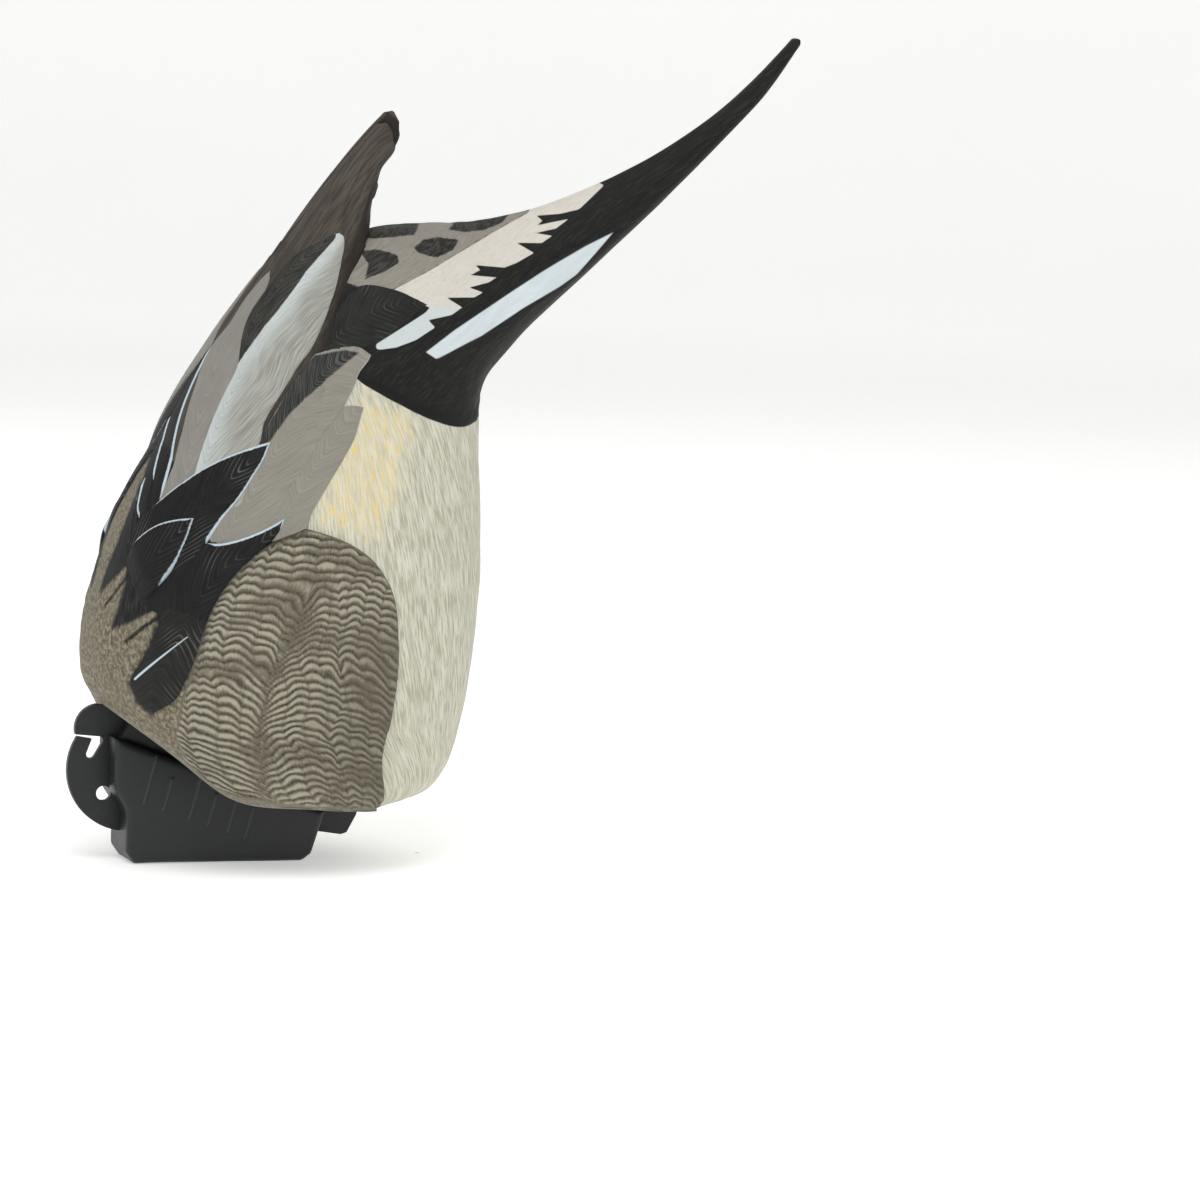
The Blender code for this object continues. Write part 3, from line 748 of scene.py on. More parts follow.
def feather_paint(name, low, high, frost=None, frost_width=1.55, dark=None, sheen=None, crest=None):
    """Paint for a feather sheet: streaked barbs, a painted highlight on the barb ridges where a crest colour
    is given, a pale edge, and a dark part if it has one.
    """
    p = Paint(name, roughness=0.58)
    barbs = p.attribute("barb_place", "Vector")
    fine = p.noise(barbs, (0.5, 16, 1), detail=4)
    tone = p.noise(barbs, (3.5, 30, 1))
    colour = p.blend(fine, 0.34, 0.66, low, high)
    colour = p.tint(colour, p.step(tone, 0.55, 0.35), 0.4, low)
    if crest:
        # Painted highlight on the tops of the barb ridges.
        crest_highlights = p.times(p.step("ridge", 0.4, 0.95), p.step(fine, 0.36, 0.58))
        colour = p.tint(colour, crest_highlights, 0.75, crest)
    if sheen:
        near = p.times(p.step("sheen", SHEEN_REACH, 0.5), 0.9)
        strokes = p.plus(0.65, p.times(p.step(fine, 0.3, 0.7), 0.35))
        colour = p.tint(colour, near, strokes, sheen)
    if dark:
        shaded = p.shift("dark", 0.9, barbs, (0.8, 3, 1))
        black = p.blend(fine, 0.4, 0.7, *dark)
        # Painted highlight on the barb ridges of the dark part.
        black = p.tint(black, p.step("ridge", 0.4, 0.9), 0.5, dark[1])
        colour = p.blend(shaded, 0.45, -0.45, colour, black)
    if frost:
        broken = p.shift("edge", 0.6, barbs, (0.8, 2.0, 1))
        line = p.step(p.math("SUBTRACT", broken, p.times("frost", frost_width)), 0.15, -0.25)
        colour = p.tint(colour, line, p.step("frost", 0.05, 0.3), frost)
    colour = p.blend("white_line", 0.62, 0.25, colour, FROST)
    return p.done(colour, fine, 0.16, p.plus(p.times(fine, 0.18), 0.48))


def make_feather(name, left, right, material, lifts, ground=FULL_GROUND, *, seed, barb, crown=0.4,
                 spacing=0.45, shaft=0.5, root=5.0, frost_from=(0, 0), frost_over=(0.2, 0.2),
                 frost_sides=(1, 1), dark=None, white_line=None):
    """A raised sheet on the skin, and its mirror image on the right.

    Left and right edges run from the base to the tip, in degrees and height. Lifts are the heights at
    base left, base right, tip left and tip right, reached over the root's length. Shaft is where the
    shaft lies, from left to right. Barb is the barbs' period and depth and their angle to the shaft.
    The pale edge starts at a share of the length, grows over another, and has a share of its full
    width: each left and right. Dark and white_line are marks in degrees and height."""
    left_line = smooth(left, 6) * (ARC, 1)
    right_line = smooth(right, 6) * (ARC, 1)
    length = max(np.linalg.norm(np.diff(line, axis=0), axis=1).sum() for line in (left_line, right_line))
    rows = max(int(length / spacing), 8)
    left_line = resample(left_line, rows)
    right_line = resample(right_line, rows)
    widths = np.linalg.norm(right_line - left_line, axis=1)
    columns = max(int(widths.max() / spacing), 6)
    t = np.linspace(0, 1, columns)[None, :]
    s = np.linspace(0, 1, rows)[:, None]
    place = left_line[:, None] * (1 - t[..., None]) + right_line[:, None] * t[..., None]
    u, z = np.moveaxis(place, -1, 0)
    to_left = line_distance(u, z, left_line[::2].tolist() + [left_line[-1]])
    to_right = line_distance(u, z, right_line[::2].tolist() + [right_line[-1]])
    edge = np.minimum(to_left, to_right)
    side = (t - shaft) * widths[:, None]
    along = s * length

    period, depth, angle = barb
    sine, cosine = math.sin(math.radians(angle)), math.cos(math.radians(angle))
    reach = np.sqrt(side ** 2 + 0.6)
    wander = noise(8, seed, u, z) * 0.3 + noise(24, seed + 1, u, z) * 1.4
    phase = (along * sine - reach * cosine + wander) / period
    strength = 0.55 + 0.45 * noise((8, 11), seed + 2, u, z)
    ridge = (0.5 + 0.5 * np.cos(2 * math.pi * phase)) ** 1.8

    low = lifts[0] * (1 - t) + lifts[1] * t
    high = lifts[2] * (1 - t) + lifts[3] * t
    rooted = ramp(along, 0, root)
    lift = (low * (1 - s) + high * s) * rooted
    rise = lift + crown * (1 - np.exp(-edge / 5)) * rooted
    rise = rise - (lift + 1.1) * bump(edge, 0.5, 1.5)
    rise = rise + depth * ridge * strength * ramp(edge, 0.4, 1.6)
    rise = rise + 0.2 * bump(side, 0.6) * ramp(edge, 0.5, 2) * (1 - 0.5 * s)
    rise = rise - 1.0 * (1 - ramp(along, 0, 3))
    sheet = raised(ground.at(u / ARC, z), rise)

    sides = (frost_from, frost_over, frost_sides)
    start, over, width = (np.where(to_left < to_right, *pair) for pair in sides)
    darkness = area_distance(u, z, skin_line(dark)) if dark else np.full(u.shape, FAR)
    pale_line = np.full(u.shape, FAR)
    if white_line:
        pale_line = line_distance(u, z, skin_line(white_line)) + 0.25 * ramp(z, 84, 100)
    attributes = {
        "edge": edge,
        "ridge": ridge * strength,
        "barb_place": np.stack([phase * period, along * cosine + reach * sine, side * 0], -1),
        "frost": ramp(s, start - 0.02, start + over) * width,
        "dark": darkness,
        "sheen": np.minimum(np.abs(darkness), to_left),
        "white_line": pale_line,
    }
    obj = make_object(name + "_left", sheet, tube_faces(rows, columns), material, attributes)
    finish_pair(obj, name + "_right")


# The crest colours are painted highlights on the barb ridges.
BLACK_FEATHER = feather_paint("black_scapular", rgb(17, 17, 17), rgb(33, 33, 33), FROST,
                              crest=rgb(106, 107, 106))
PLAIN_BLACK_FEATHER = feather_paint("black_barbs", rgb(24, 24, 23), rgb(44, 44, 42),
                                    crest=rgb(96, 96, 92))
GREY_FEATHER = feather_paint("grey_tertial", rgb(130, 127, 118), rgb(148, 144, 135),
                             rgb(176, 178, 172), 0.9, dark=(rgb(34, 34, 33), rgb(84, 84, 80)))
SILVER_FEATHER = feather_paint("silver_tertial", rgb(134, 133, 125), rgb(172, 173, 165),
                               rgb(150, 147, 139), 1.0, dark=(rgb(34, 34, 32), rgb(80, 79, 74)),
                               sheen=rgb(200, 208, 208))
INNER_FEATHER = feather_paint("inner_tertial", rgb(130, 128, 120), rgb(146, 144, 136),
                              rgb(164, 166, 162), 0.6)

make_feather(
    "inner_tertial",
    [(23, 142), (21, 160), (19, 177), (17, 185), (11, 198), (3, 209), (3, 217), (9, 224), (9, 233), (13, 242),
     (20, 247)],
    [(44, 142), (41, 160), (39, 185), (41, 205), (37, 222), (33, 235), (28, 243), (20, 247)],
    INNER_FEATHER, (0.3, 0.3, 0.5, 0.3), crown=0.3, barb=(1.4, 0.10, 30), seed=11)
make_feather(
    "lower_tertial",
    [(62, 137), (63, 150), (68, 168), (74, 180), (80, 188), (87, 193), (95, 194.5), (101, 193.5)],
    [(80, 139), (79.5, 147), (81, 153), (85, 162), (89, 170), (93, 178), (97, 186), (101, 193.5)],
    GREY_FEATHER, (0.3, 0.4, 0.4, 0.6), crown=0.3, barb=(1.6, 0.10, 30), seed=21)
make_feather(
    "outer_tertial",
    [(44, 136), (47, 148), (56, 181), (65, 200), (76, 213), (83, 215.5), (95, 217.5), (104, 217.5),
     (110, 214)],
    [(60, 136), (68, 148), (71, 161), (74, 166), (77, 174), (80, 181), (85, 186), (91, 193), (97, 200),
     (101, 206), (107, 211), (110, 214)],
    GREY_FEATHER, (0.3, 0.5, 0.7, 1.1), shaft=0.35, barb=(1.8, 0.14, 28), root=14,
    frost_from=(0.55, 0.55), seed=31,
    dark=[(78, 213.5), (72, 209), (65, 199), (60, 189), (54, 176), (58, 176), (61, 182), (66, 190), (72, 196),
          (79, 201), (91, 208), (103, 214.5), (96, 215.5), (84, 214)])
make_feather(
    "long_tertial",
    [(33, 150), (34, 179), (36, 196), (38, 207), (36, 213), (31, 222), (29, 229), (32, 238), (36, 247),
     (43, 253), (61, 258.5), (76, 262), (87, 263)],
    [(55, 150), (57, 181), (58, 188), (63, 198), (70, 209), (76, 215), (83, 224), (92, 235), (98, 247),
     (100, 255), (96, 261), (87, 263)],
    SILVER_FEATHER, (0.5, 0.8, 1.0, 1.4), shaft=0.2, barb=(1.7, 0.14, 26), frost_from=(0.6, 0.6), seed=41,
    dark=[(20, 200), (39, 209), (48, 224), (57, 234), (65, 246), (84, 260), (80, 270), (40, 268), (10, 240)])

MANTLE_FEATHER = {"material": BLACK_FEATHER, "crown": 0.1, "spacing": 0.35, "barb": (1.6, 0.1, 18)}
make_feather(
    "mantle_feather_upper",
    [(7, 150), (5, 160), (-0.8, 173), (-0.8, 180), (-0.8, 205), (0.5, 216)],
    [(25, 146), (21.5, 161), (17, 175), (12.5, 187), (7, 200), (0.5, 216)],
    **MANTLE_FEATHER, lifts=(0.2, 0.6, 0.2, 0.5), shaft=0.1, frost_sides=(0, 1), seed=51)
make_feather(
    "mantle_feather_middle",
    [(9, 145), (7, 155), (4, 165), (-0.8, 174), (-0.8, 180), (1, 187)],
    [(20.5, 145), (16.5, 157), (11, 167), (6, 176), (1, 187)],
    **MANTLE_FEATHER, lifts=(0.4, 0.9, 0.4, 0.8), shaft=0.1, frost_from=(0, 0.25), frost_sides=(0, 1),
    seed=61)
make_feather(
    "mantle_feather_lower",
    [(10, 132), (9, 142), (8, 149), (7, 156), (7, 163.5)],
    [(24, 133), (20.5, 139), (16.5, 145), (12, 153), (7, 163.5)],
    **MANTLE_FEATHER, lifts=(0.2, 0.9, 0.7, 1.0), root=12, frost_from=(0.6, 0.35), frost_sides=(0.5, 1),
    seed=71)
make_feather(
    "scapular_long",
    [(12, 134), (17, 144), (22.4, 152.2), (27.2, 158.8), (32.7, 164), (40, 169.5), (47.2, 174), (54.4, 177.6),
     (60.5, 180)],
    [(41, 122), (45, 132), (47.2, 139), (50, 148), (54, 156.5), (57, 165), (59.4, 172.3), (60.5, 180)],
    BLACK_FEATHER, (1.0, 1.1, 1.4, 1.5), spacing=0.32, shaft=0.62, barb=(1.5, 0.3, 19), root=14,
    frost_from=(0.16, 0.26), frost_over=(0.2, 0.04), frost_sides=(1.1, 0.8), seed=81)
make_feather(
    "scapular_wide",
    [(28, 110), (36, 123), (42, 132), (45, 137), (46.6, 138.1), (49, 138.2), (52, 138.6), (57.2, 140.6),
     (63.8, 144.4), (71, 149.8)],
    [(52, 98), (54, 106), (55, 113), (57, 119), (59.5, 125.5), (63, 131.5), (66.2, 137), (69.5, 142.8),
     (71, 149.8)],
    BLACK_FEATHER, (0.5, 0.2, 1.4, 1.5), spacing=0.34, shaft=0.7, barb=(1.8, 0.34, 24), root=14,
    frost_from=(0.53, 0.84), frost_over=(0.04, 0.1), frost_sides=(1.1, 0.7), seed=91)
make_feather(
    "scapular_short",
    [(16, 127), (19.3, 134.6), (22.8, 139.6), (27.8, 143.8), (34.1, 146.3), (40.5, 147.5)],
    [(29, 109), (33, 115), (36.5, 122.5), (39.1, 129.8), (40.4, 138), (40.5, 147.5)],
    BLACK_FEATHER, (1.7, 1.7, 2.7, 2.7), spacing=0.34, shaft=0.6, barb=(1.6, 0.22, 20), root=12,
    frost_from=(0.16, 0.2), frost_sides=(1.1, 0.6), seed=101)
make_feather(
    "scapular_point",
    [(59, 118), (55.5, 104), (52.5, 94), (49, 84), (45, 73.5), (36.5, 66)],
    [(38, 116), (37, 104), (35.5, 96), (32, 88), (28, 79.5), (31, 71.5), (36.5, 66)],
    PLAIN_BLACK_FEATHER, (0.3, 0.3, 0.0, 0.0), crown=0.3, spacing=0.36, barb=(1.7, 0.25, 36),
    white_line=[(48, 100), (31, 81)], seed=111)
make_feather(
    "rump_feather",
    [(78, 220), (96, 232), (106, 239), (118, 242.5), (129, 241), (136, 238), (142, 234)],
    [(78, 205), (96, 214), (112, 217.5), (122, 222), (130, 227), (138, 232), (142, 234)],
    PLAIN_BLACK_FEATHER, (0.2, 0.2, 0.2, 0.2), BODY_GROUND, crown=0.5, spacing=0.36, barb=(1.9, 0.45, 28),
    seed=121)


# ---- flanks ----------------------------------------------------------------------------------

def flank_paint():
    p = Paint("flank_vermiculation", roughness=0.6)
    place = p.place()
    fine = p.noise(place, 0.9, detail=4)
    patchy = p.noise(place, 13)
    worn = p.noise(place, 4)
    combed = p.noise(p.attribute("comb", "Vector"), (0.55, 2.6, 1))
    # The colour follows the ridges: partly the paint's own darker wash in the grooves, partly painted light
    # from above, with a painted highlight on each crest and painted shade in each groove.
    level = p.sway(p.sway("crest", fine, 0.4), combed, 0.8)
    colour = p.blend(level, 0.0, 0.4, rgb(66, 60, 49), rgb(108, 102, 87))
    colour = p.blend(level, 0.4, 1.05, colour, rgb(165, 160, 143))
    colour = p.tint(colour, p.step("from_left", 34, 66), 0.5, rgb(90, 84, 71))
    colour = p.tint(colour, p.step(patchy, 0.44, 0.66), 0.4, rgb(98, 91, 77))
    colour = p.tint(colour, p.step(worn, 0.6, 0.75), 0.25, rgb(150, 144, 128))
    left = p.step(p.shift("from_left", 2.5, place, 3), 5.0, 0.0)
    sooty = p.times(left, p.step("height", 78, 100))
    colour = p.tint(colour, sooty, 0.75, rgb(44, 43, 40))
    colour = p.tint(colour, p.step("rim", 4.5, 1.0), 0.7, rgb(132, 127, 115))
    return p.done(colour, fine, 0.3, p.math("SUBTRACT", 0.66, p.times("crest", 0.14)))


FLANK_LEFT = [(40, 40), (41, 54), (44.5, 65), (46.5, 76), (49.5, 90), (51.5, 102), (53, 113), (56.5, 124.5),
              (62, 134.5), (69, 141), (78, 145.5)]
FLANK_RIGHT = [(109, 20), (107, 39), (109, 50), (114, 61), (115.5, 74), (116.5, 90), (116, 103), (113, 117),
               (108, 127), (101, 135), (91, 141), (78, 145.5)]
FLANK_VALLEY = [(62, 38), (66, 47), (69, 57), (72, 74), (73, 83), (76, 90), (80, 101), (82, 108), (83, 116),
                (83, 150)]
LEFT_CREST = [(46, 40), (52, 66), (59, 83), (64, 108), (66, 128), (67, 150)]
RIGHT_CREST = [(80, 38), (82, 59), (84, 80), (89, 100), (90, 118), (90, 150)]
SECOND_VALLEY = [(88, 38), (90, 50), (96, 75), (94, 108), (90, 132), (90, 150)]
FLANK_HEIGHT = 118         # about its size, from which the number of points follows
FLANK_WIDTH = 80
FLANK_SPACING = 0.44
RIDGE_PERIOD = 3.1
ARCH_WIDTH = 7.6           # small arches along each ridge
TOOTH_WIDTH = 4.4          # and the finer teeth near the left edge


def rim_height(degrees):
    """Height of the body's lower rim at a skin angle."""
    ring = section(BASE, np.linspace(0, math.pi, 200))
    return np.interp(degrees, skin_angle(*ring.T), ring[:, 2])


def flank_ridges(u, z, lowest):
    """Phase of the carved ridges, whole at each groove, and how far along a small arch a place is.
    The ridges arch over each lobe of the flank."""
    valley = across_at(z, FLANK_VALLEY) + noise(11, 203, u, z) * 1.2
    left_crest = across_at(z, LEFT_CREST)
    right_crest = across_at(z, RIGHT_CREST)
    second = across_at(z, SECOND_VALLEY) + noise(9, 207, u, z) * 1.5
    drift = noise((14, 16), 201, u, z) * 1.3 + noise((30, 34), 202, u, z) * 2.0
    fall = np.clip((u - left_crest) / np.maximum(valley - left_crest, 4), 0, 1) ** 1.8 * -9.0
    climb = np.clip((right_crest - u) / np.maximum(right_crest - valley, 4), 0, 1) ** 1.8 * -8.0
    beyond = np.clip(u - right_crest, 0, None)
    lobe = np.where(u < valley, fall, climb) * ramp(z, 126, 110) - 0.10 * beyond - 0.010 * beyond ** 2
    lobe = lobe - 2.6 * bump(np.abs(u - second), 2.4, 1) * ramp(z, 128, 118)
    lobe = lobe + 0.12 * np.clip(u - left_crest, None, 0)
    arch = np.abs(np.sin(math.pi * (u + drift + 2.0 * noise(13, 208, u, z)) / ARCH_WIDTH))
    waves = 1.5 * arch * (0.75 + 0.5 * noise((12, 10), 204, u, z))
    teeth = 1.5 * np.abs(np.sin(math.pi * (u + drift * 0.4) / TOOTH_WIDTH))
    teeth = teeth * ramp(u - across_at(z, FLANK_LEFT), 12, 3)
    follow = (lowest - 30) * 0.45 * ramp(z - lowest, 36, 2)
    shape = lobe + waves + teeth + follow + drift * 0.6 + noise((5, 4), 205, u, z) * 0.8
    return (z - shape) / RIDGE_PERIOD, arch


def sheet_edge(rows, columns):
    """Indices of a grid's outermost points, once round."""
    top = (rows - 1) * columns
    ring = list(range(columns))
    ring += [i * columns + columns - 1 for i in range(1, rows)]
    ring += [top + j for j in range(columns - 2, -1, -1)]
    return ring + [i * columns for i in range(rows - 2, 0, -1)]


def make_flank(material):
    """The carved flank: a thick sheet that reaches down to the rim."""
    rows = int(FLANK_HEIGHT / FLANK_SPACING)
    columns = int(FLANK_WIDTH / FLANK_SPACING)
    left_line = resample(smooth(FLANK_LEFT, 8) * (ARC, 1), rows)
    right_line = resample(smooth(FLANK_RIGHT, 8) * (ARC, 1), rows)
    t = np.linspace(0, 1, columns)[None, :, None]
    u, z = np.moveaxis(left_line[:, None] * (1 - t) + right_line[:, None] * t, -1, 0)
    lowest = rim_height(u / ARC) + 0.2
    top = z[-1:]
    s = (z - z[:1]) / (top - z[:1])
    z = np.where(s < 0.999, lowest + (top - lowest) * s, z)
    from_left = line_distance(u, z, left_line[::3])
    from_right = line_distance(u, z, right_line[::3])
    edge = np.minimum(np.minimum(from_left, from_right), (z - lowest) * 0.8 + 0.1)

    phase, arch = flank_ridges(u, z, lowest)
    part = phase - np.floor(phase)
    crest = ramp(part, -0.12, 0.62) * ramp(part, 1.04, 0.76)
    weak = ramp(noise((13, 11), 211, u, z) + 0.5 * noise((6, 5), 212, u, z), -0.75, 0.1)
    weak = (0.35 + 0.65 * weak) * (0.55 + 0.45 * ramp(arch, 0.0, 0.45))
    from_valley = u - across_at(z, FLANK_VALLEY)
    crossing = bump(from_valley, 2.2) * ramp(z, 118, 108)
    hatch = 0.5 + 0.5 * np.cos(2 * math.pi * (z + 0.9 * u) / 1.9)
    crest = crest * (1 - 0.6 * crossing) + 0.45 * hatch * crossing
    relief = 1.1 * crest * weak + 0.3 * noise(1.5, 213, u, z)
    relief += 0.8 * noise((22, 20), 214, u, z) - 1.5 * bump(from_valley, 5.0) * ramp(z, 120, 104)
    calm = ramp(edge, 0.6, 2.4) * ramp(z - lowest, 0.5, 5)
    rise = 0.75 + 0.95 * (1 - np.exp(-edge / 8)) - 1.9 * bump(edge, 0.8, 1.5)
    rise = rise + 0.35 * bump(from_right - 1.6, 1.0) + relief * calm
    rise *= 0.35 + 0.65 * ramp(from_left + 8 * ramp(z, 98, 112), 0, 8)

    base = BODY_GROUND.at(u / ARC, z)
    depth = np.full(z.shape, -1.2)
    depth[0] = -0.4
    points = np.stack([raised(base, rise), raised(base, depth)])
    count = rows * columns
    faces = grid_faces(rows, columns, False)
    ring = sheet_edge(rows, columns)
    walls = [(b, a, a + count, b + count) for a, b in zip(ring, ring[1:] + ring[:1])]
    attributes = {
        # crest also carries the painted highlight on the ridge tops and the painted shade in the grooves into
        # the paint.
        "crest": crest * (0.45 + 0.55 * weak) * calm + 0.45 * (1 - calm),
        "from_left": from_left,
        "rim": z - lowest,
        "height": z,
        "comb": np.stack([u + 2.1 * noise(16, 216, u, z), z, z * 0], -1),
    }
    attributes = {label: np.stack([values, values]) for label, values in attributes.items()}
    faces = faces.tolist() + (faces[:, ::-1] + count).tolist() + walls
    finish_pair(make_object("flank_left", points, faces, material, attributes), "flank_right")


make_flank(flank_paint())


# ---- keel ------------------------------------------------------------------------------------

def keel_paint():
    p = Paint("black_keel_plastic", roughness=0.42, specular=0.4)
    place = p.place()
    grain = p.noise(place, 0.8, detail=4)
    cloud = p.noise(place, 22)
    scuff = p.noise(place, (9, 9, 1.6), detail=5, roughness=0.7)
    dust = p.noise(place, 2.2, detail=2)
    colour = p.mix(cloud, rgb(26, 28, 29), rgb(34, 36, 37))
    colour = p.tint(colour, p.step(scuff, 0.6, 0.8), 0.35, rgb(66, 69, 70))
    # Painted highlight: the raised ribs and border are lighter.
    colour = p.tint(colour, p.step("raised", 0.2, 0.9), 0.45, rgb(74, 78, 80))
    colour = p.tint(colour, p.step(dust, 0.74, 0.8), 0.25, rgb(96, 98, 98))
    return p.done(colour, grain, 0.10, p.plus(0.36, p.times(cloud, 0.16)))


# The deck, as in the CAD: the flat floor of the recess, tilted along the base line.
BACK_FOOT = np.array([BASE[0], 0, BASE[1]])
BELLY_FOOT = np.array([BASE[2], 0, BASE[3]])
DECK_U = (BELLY_FOOT - BACK_FOOT) / np.linalg.norm(BELLY_FOOT - BACK_FOOT)
DECK_UP = np.array([-DECK_U[2], 0, DECK_U[0]])
DECK_SLOPE = DECK_U[2] / DECK_U[0]
DECK_CENTRE = (BACK_FOOT + BELLY_FOOT) / 2 + DECK_UP * RECESS
BLOCK_HALF_WIDTH = 16.0
BLOCK_BACK = -45.0         # back of the block's top edge, x
BLOCK_TOP = 53.0           # and its height
BLOCK_LEAN = 0.3           # lean of the block's front
BLOCK_EDGE = 2.6           # roundness of its edges
SHOULDER_HALF_WIDTH = 10.0
SHOULDER_EDGE = 1.5
FLANGE_DEPTH = 3.3         # middle of the flange, below the deck
FLANGE_HALF_THICKNESS = 1.5
FLANGE_CORNER = 9          # radius of its corners
KEEL_VOXEL = 0.6
RIB_FEET = (-33.0, -24.5, -13.5, -5.5, 3.0, 10.5)   # foot of each side rib, along x
RIB_LEAN = 0.25
RIB_WIDTH = 0.5
RIB_HEIGHT = 0.7
LOBE_CENTRE = (-36.0, 38.0)
LOBE_RADIUS = 26.0
HORN_CENTRE = (-48.5, 55.0)
HORN_RADIUS = 10.5
HOOK_START = (-49.0, 50.0)
HOOK_END = (-52.2, 44.6)
HOOK_RADIUS = 1.9
LINE_HOLE = (-46.5, 28.0)
LINE_HOLE_RADIUS = 3.1
WEB_HALF_THICKNESS = 1.8
WEB_DEPTH = 8.5            # top of the web, below the deck
WEB_EDGE = 0.35
TAB_EDGE = 0.5
REAR_TAB = [(30, 34), (64, 23.5), (62.5, 17), (58.5, 9.6), (56, 8.8), (38, 11.5)]
SIDE_VIEW = Matrix.Rotation(math.pi / 2, 4, "X")


def below_deck(x, depth):
    """The point in side view at x, on the plane parallel to the deck and depth below it."""
    point = DECK_CENTRE - DECK_UP * depth
    return x, point[2] + (x - point[0]) * DECK_SLOPE


def arc(centre, radius, start, end, steps):
    """Points from one angle to another, in degrees."""
    turns = np.radians(np.linspace(start, end, steps + 1))
    return [(centre[0] + radius * math.cos(a), centre[1] + radius * math.sin(a)) for a in turns]


def mesh_now(obj):
    """The object's mesh with its modifiers applied. The object itself goes."""
    graph = bpy.context.evaluated_depsgraph_get()
    mesh = bpy.data.meshes.new_from_object(obj.evaluated_get(graph))
    bpy.data.objects.remove(obj)
    mesh.materials.clear()
    return mesh


def plate(name, outline, half_thickness, edge, holes=(), matrix=SIDE_VIEW):
    """A flat outline, given thickness both ways and a rounded edge."""
    curve = bpy.data.curves.new(name, "CURVE")
    curve.dimensions = "2D"
    curve.fill_mode = "BOTH"
    curve.extrude = (half_thickness - edge) * MM
    curve.bevel_depth = edge * MM
    curve.bevel_resolution = 3
    curve.offset = -edge * MM
    for loop in (outline, *holes):
        spline = curve.splines.new("POLY")
        spline.points.add(len(loop) - 1)
        for point, (x, y) in zip(spline.points, loop):
            point.co = (x * MM, y * MM, 0, 1)
        spline.use_cyclic_u = True
    source = add_object(name, curve)
    bpy.context.view_layer.update()
    mesh = mesh_now(source)
    mesh.transform(matrix)
    clean(mesh, merge=True)
    return mesh


def keel_relief(points):
    """Raised ribs on the sides of the block, as a share of their height."""
    x, y, z = points.T
    on_face = ramp(np.abs(y), BLOCK_HALF_WIDTH - 1.2, BLOCK_HALF_WIDTH - 0.4)
    level = z - DECK_SLOPE * (x + 34) - 25.5
    ribs = np.zeros(len(points))
    for index, foot in enumerate(RIB_FEET):
        height = 23.0 if index % 2 == 0 else 15.0
        line = bump(x - foot - RIB_LEAN * level, RIB_WIDTH)
        ribs = np.maximum(ribs, line * ramp(level, -0.5, 0.5) * ramp(level, height + 0.5, height - 0.5))
    border = bump(level - 24.5, RIB_WIDTH) * ramp(x, -29, -27) * ramp(x, 30, 28)
    return np.maximum(ribs, 0.7 * border) * on_face


def block_outline():
    """Side view of the ballast block: flat foot, waist at the back, top parallel to the deck."""
    foot_x, foot_z = 40, 3
    front = BLOCK_TOP + DECK_SLOPE * (foot_x - BLOCK_LEAN * foot_z - BLOCK_BACK)
    front /= 1 - DECK_SLOPE * BLOCK_LEAN
    waist = smooth([(BLOCK_BACK, 36), (-44, 30), (-40, 23), (-39.5, 17), (-39.5, 5)], 6).tolist()
    return [(-36, 0), (36, 0), (foot_x, foot_z), (foot_x + BLOCK_LEAN * (front - foot_z), front),
            (BLOCK_BACK, BLOCK_TOP)] + waist


def block_blank():
    """Mesh of the ballast block, its shoulder and the flange, as one moulding with soft corners."""
    turn = Matrix(np.array([DECK_U, [0, -1, 0], -DECK_UP]).T.tolist()).to_4x4()
    flange_place = Matrix.Translation(((DECK_CENTRE - DECK_UP * FLANGE_DEPTH) * MM).tolist()) @ turn
    corners = [(25, 19, 0), (-33, 19, 90), (-33, -19, 180), (25, -19, 270)]
    flange = [point for x, y, start in corners
              for point in arc((x, y), FLANGE_CORNER, start, start + 90, 8)]
    shoulder = [(-43, 50), below_deck(-34, 4), below_deck(30, 4), (38, 26), (30, 20), (-36, 36)]
    parts = [
        plate("block", block_outline(), BLOCK_HALF_WIDTH, BLOCK_EDGE),
        plate("shoulder", shoulder, SHOULDER_HALF_WIDTH, SHOULDER_EDGE),
        plate("flange", flange, FLANGE_HALF_THICKNESS, 0.0, matrix=flange_place),
    ]
    bm = bmesh.new()
    for part in parts:
        bm.from_mesh(part)
    mesh = bpy.data.meshes.new("keel_block")
    bm.to_mesh(mesh)
    bm.free()
    obj = add_object("keel_block", mesh)
    remesh = obj.modifiers.new("remesh", "REMESH")
    remesh.mode = "VOXEL"
    remesh.voxel_size = KEEL_VOXEL * MM
    relax = obj.modifiers.new("relax", "SMOOTH")
    relax.factor = 0.5
    relax.iterations = 14
    return mesh_now(obj)


def make_keel_part(name, mesh, relief, material):
    mesh.materials.append(material)
    set_attribute(mesh, "raised", relief)
    finish_piece(add_object(name, mesh), "keel_shell")


def make_keel_block(material):
    """The block with its ribs and slightly uneven faces, cut flat at the foot."""
    mesh = block_blank()
    points = np.empty(len(mesh.vertices) * 3)
    normals = np.empty(points.shape)
    mesh.vertices.foreach_get("co", points)
    mesh.vertices.foreach_get("normal", normals)
    points = points.reshape(-1, 3) / MM
    relief = keel_relief(points)
    sag = 0.3 * noise(24, 301, *points.T)
    points = points + normals.reshape(-1, 3) * (RIB_HEIGHT * relief + sag)[:, None]
    points[:, 2] = np.maximum(points[:, 2], 0.0)
    mesh.vertices.foreach_set("co", (points * MM).ravel())
    mesh.shade_smooth()
    make_keel_part("keel_block", mesh, relief, material)


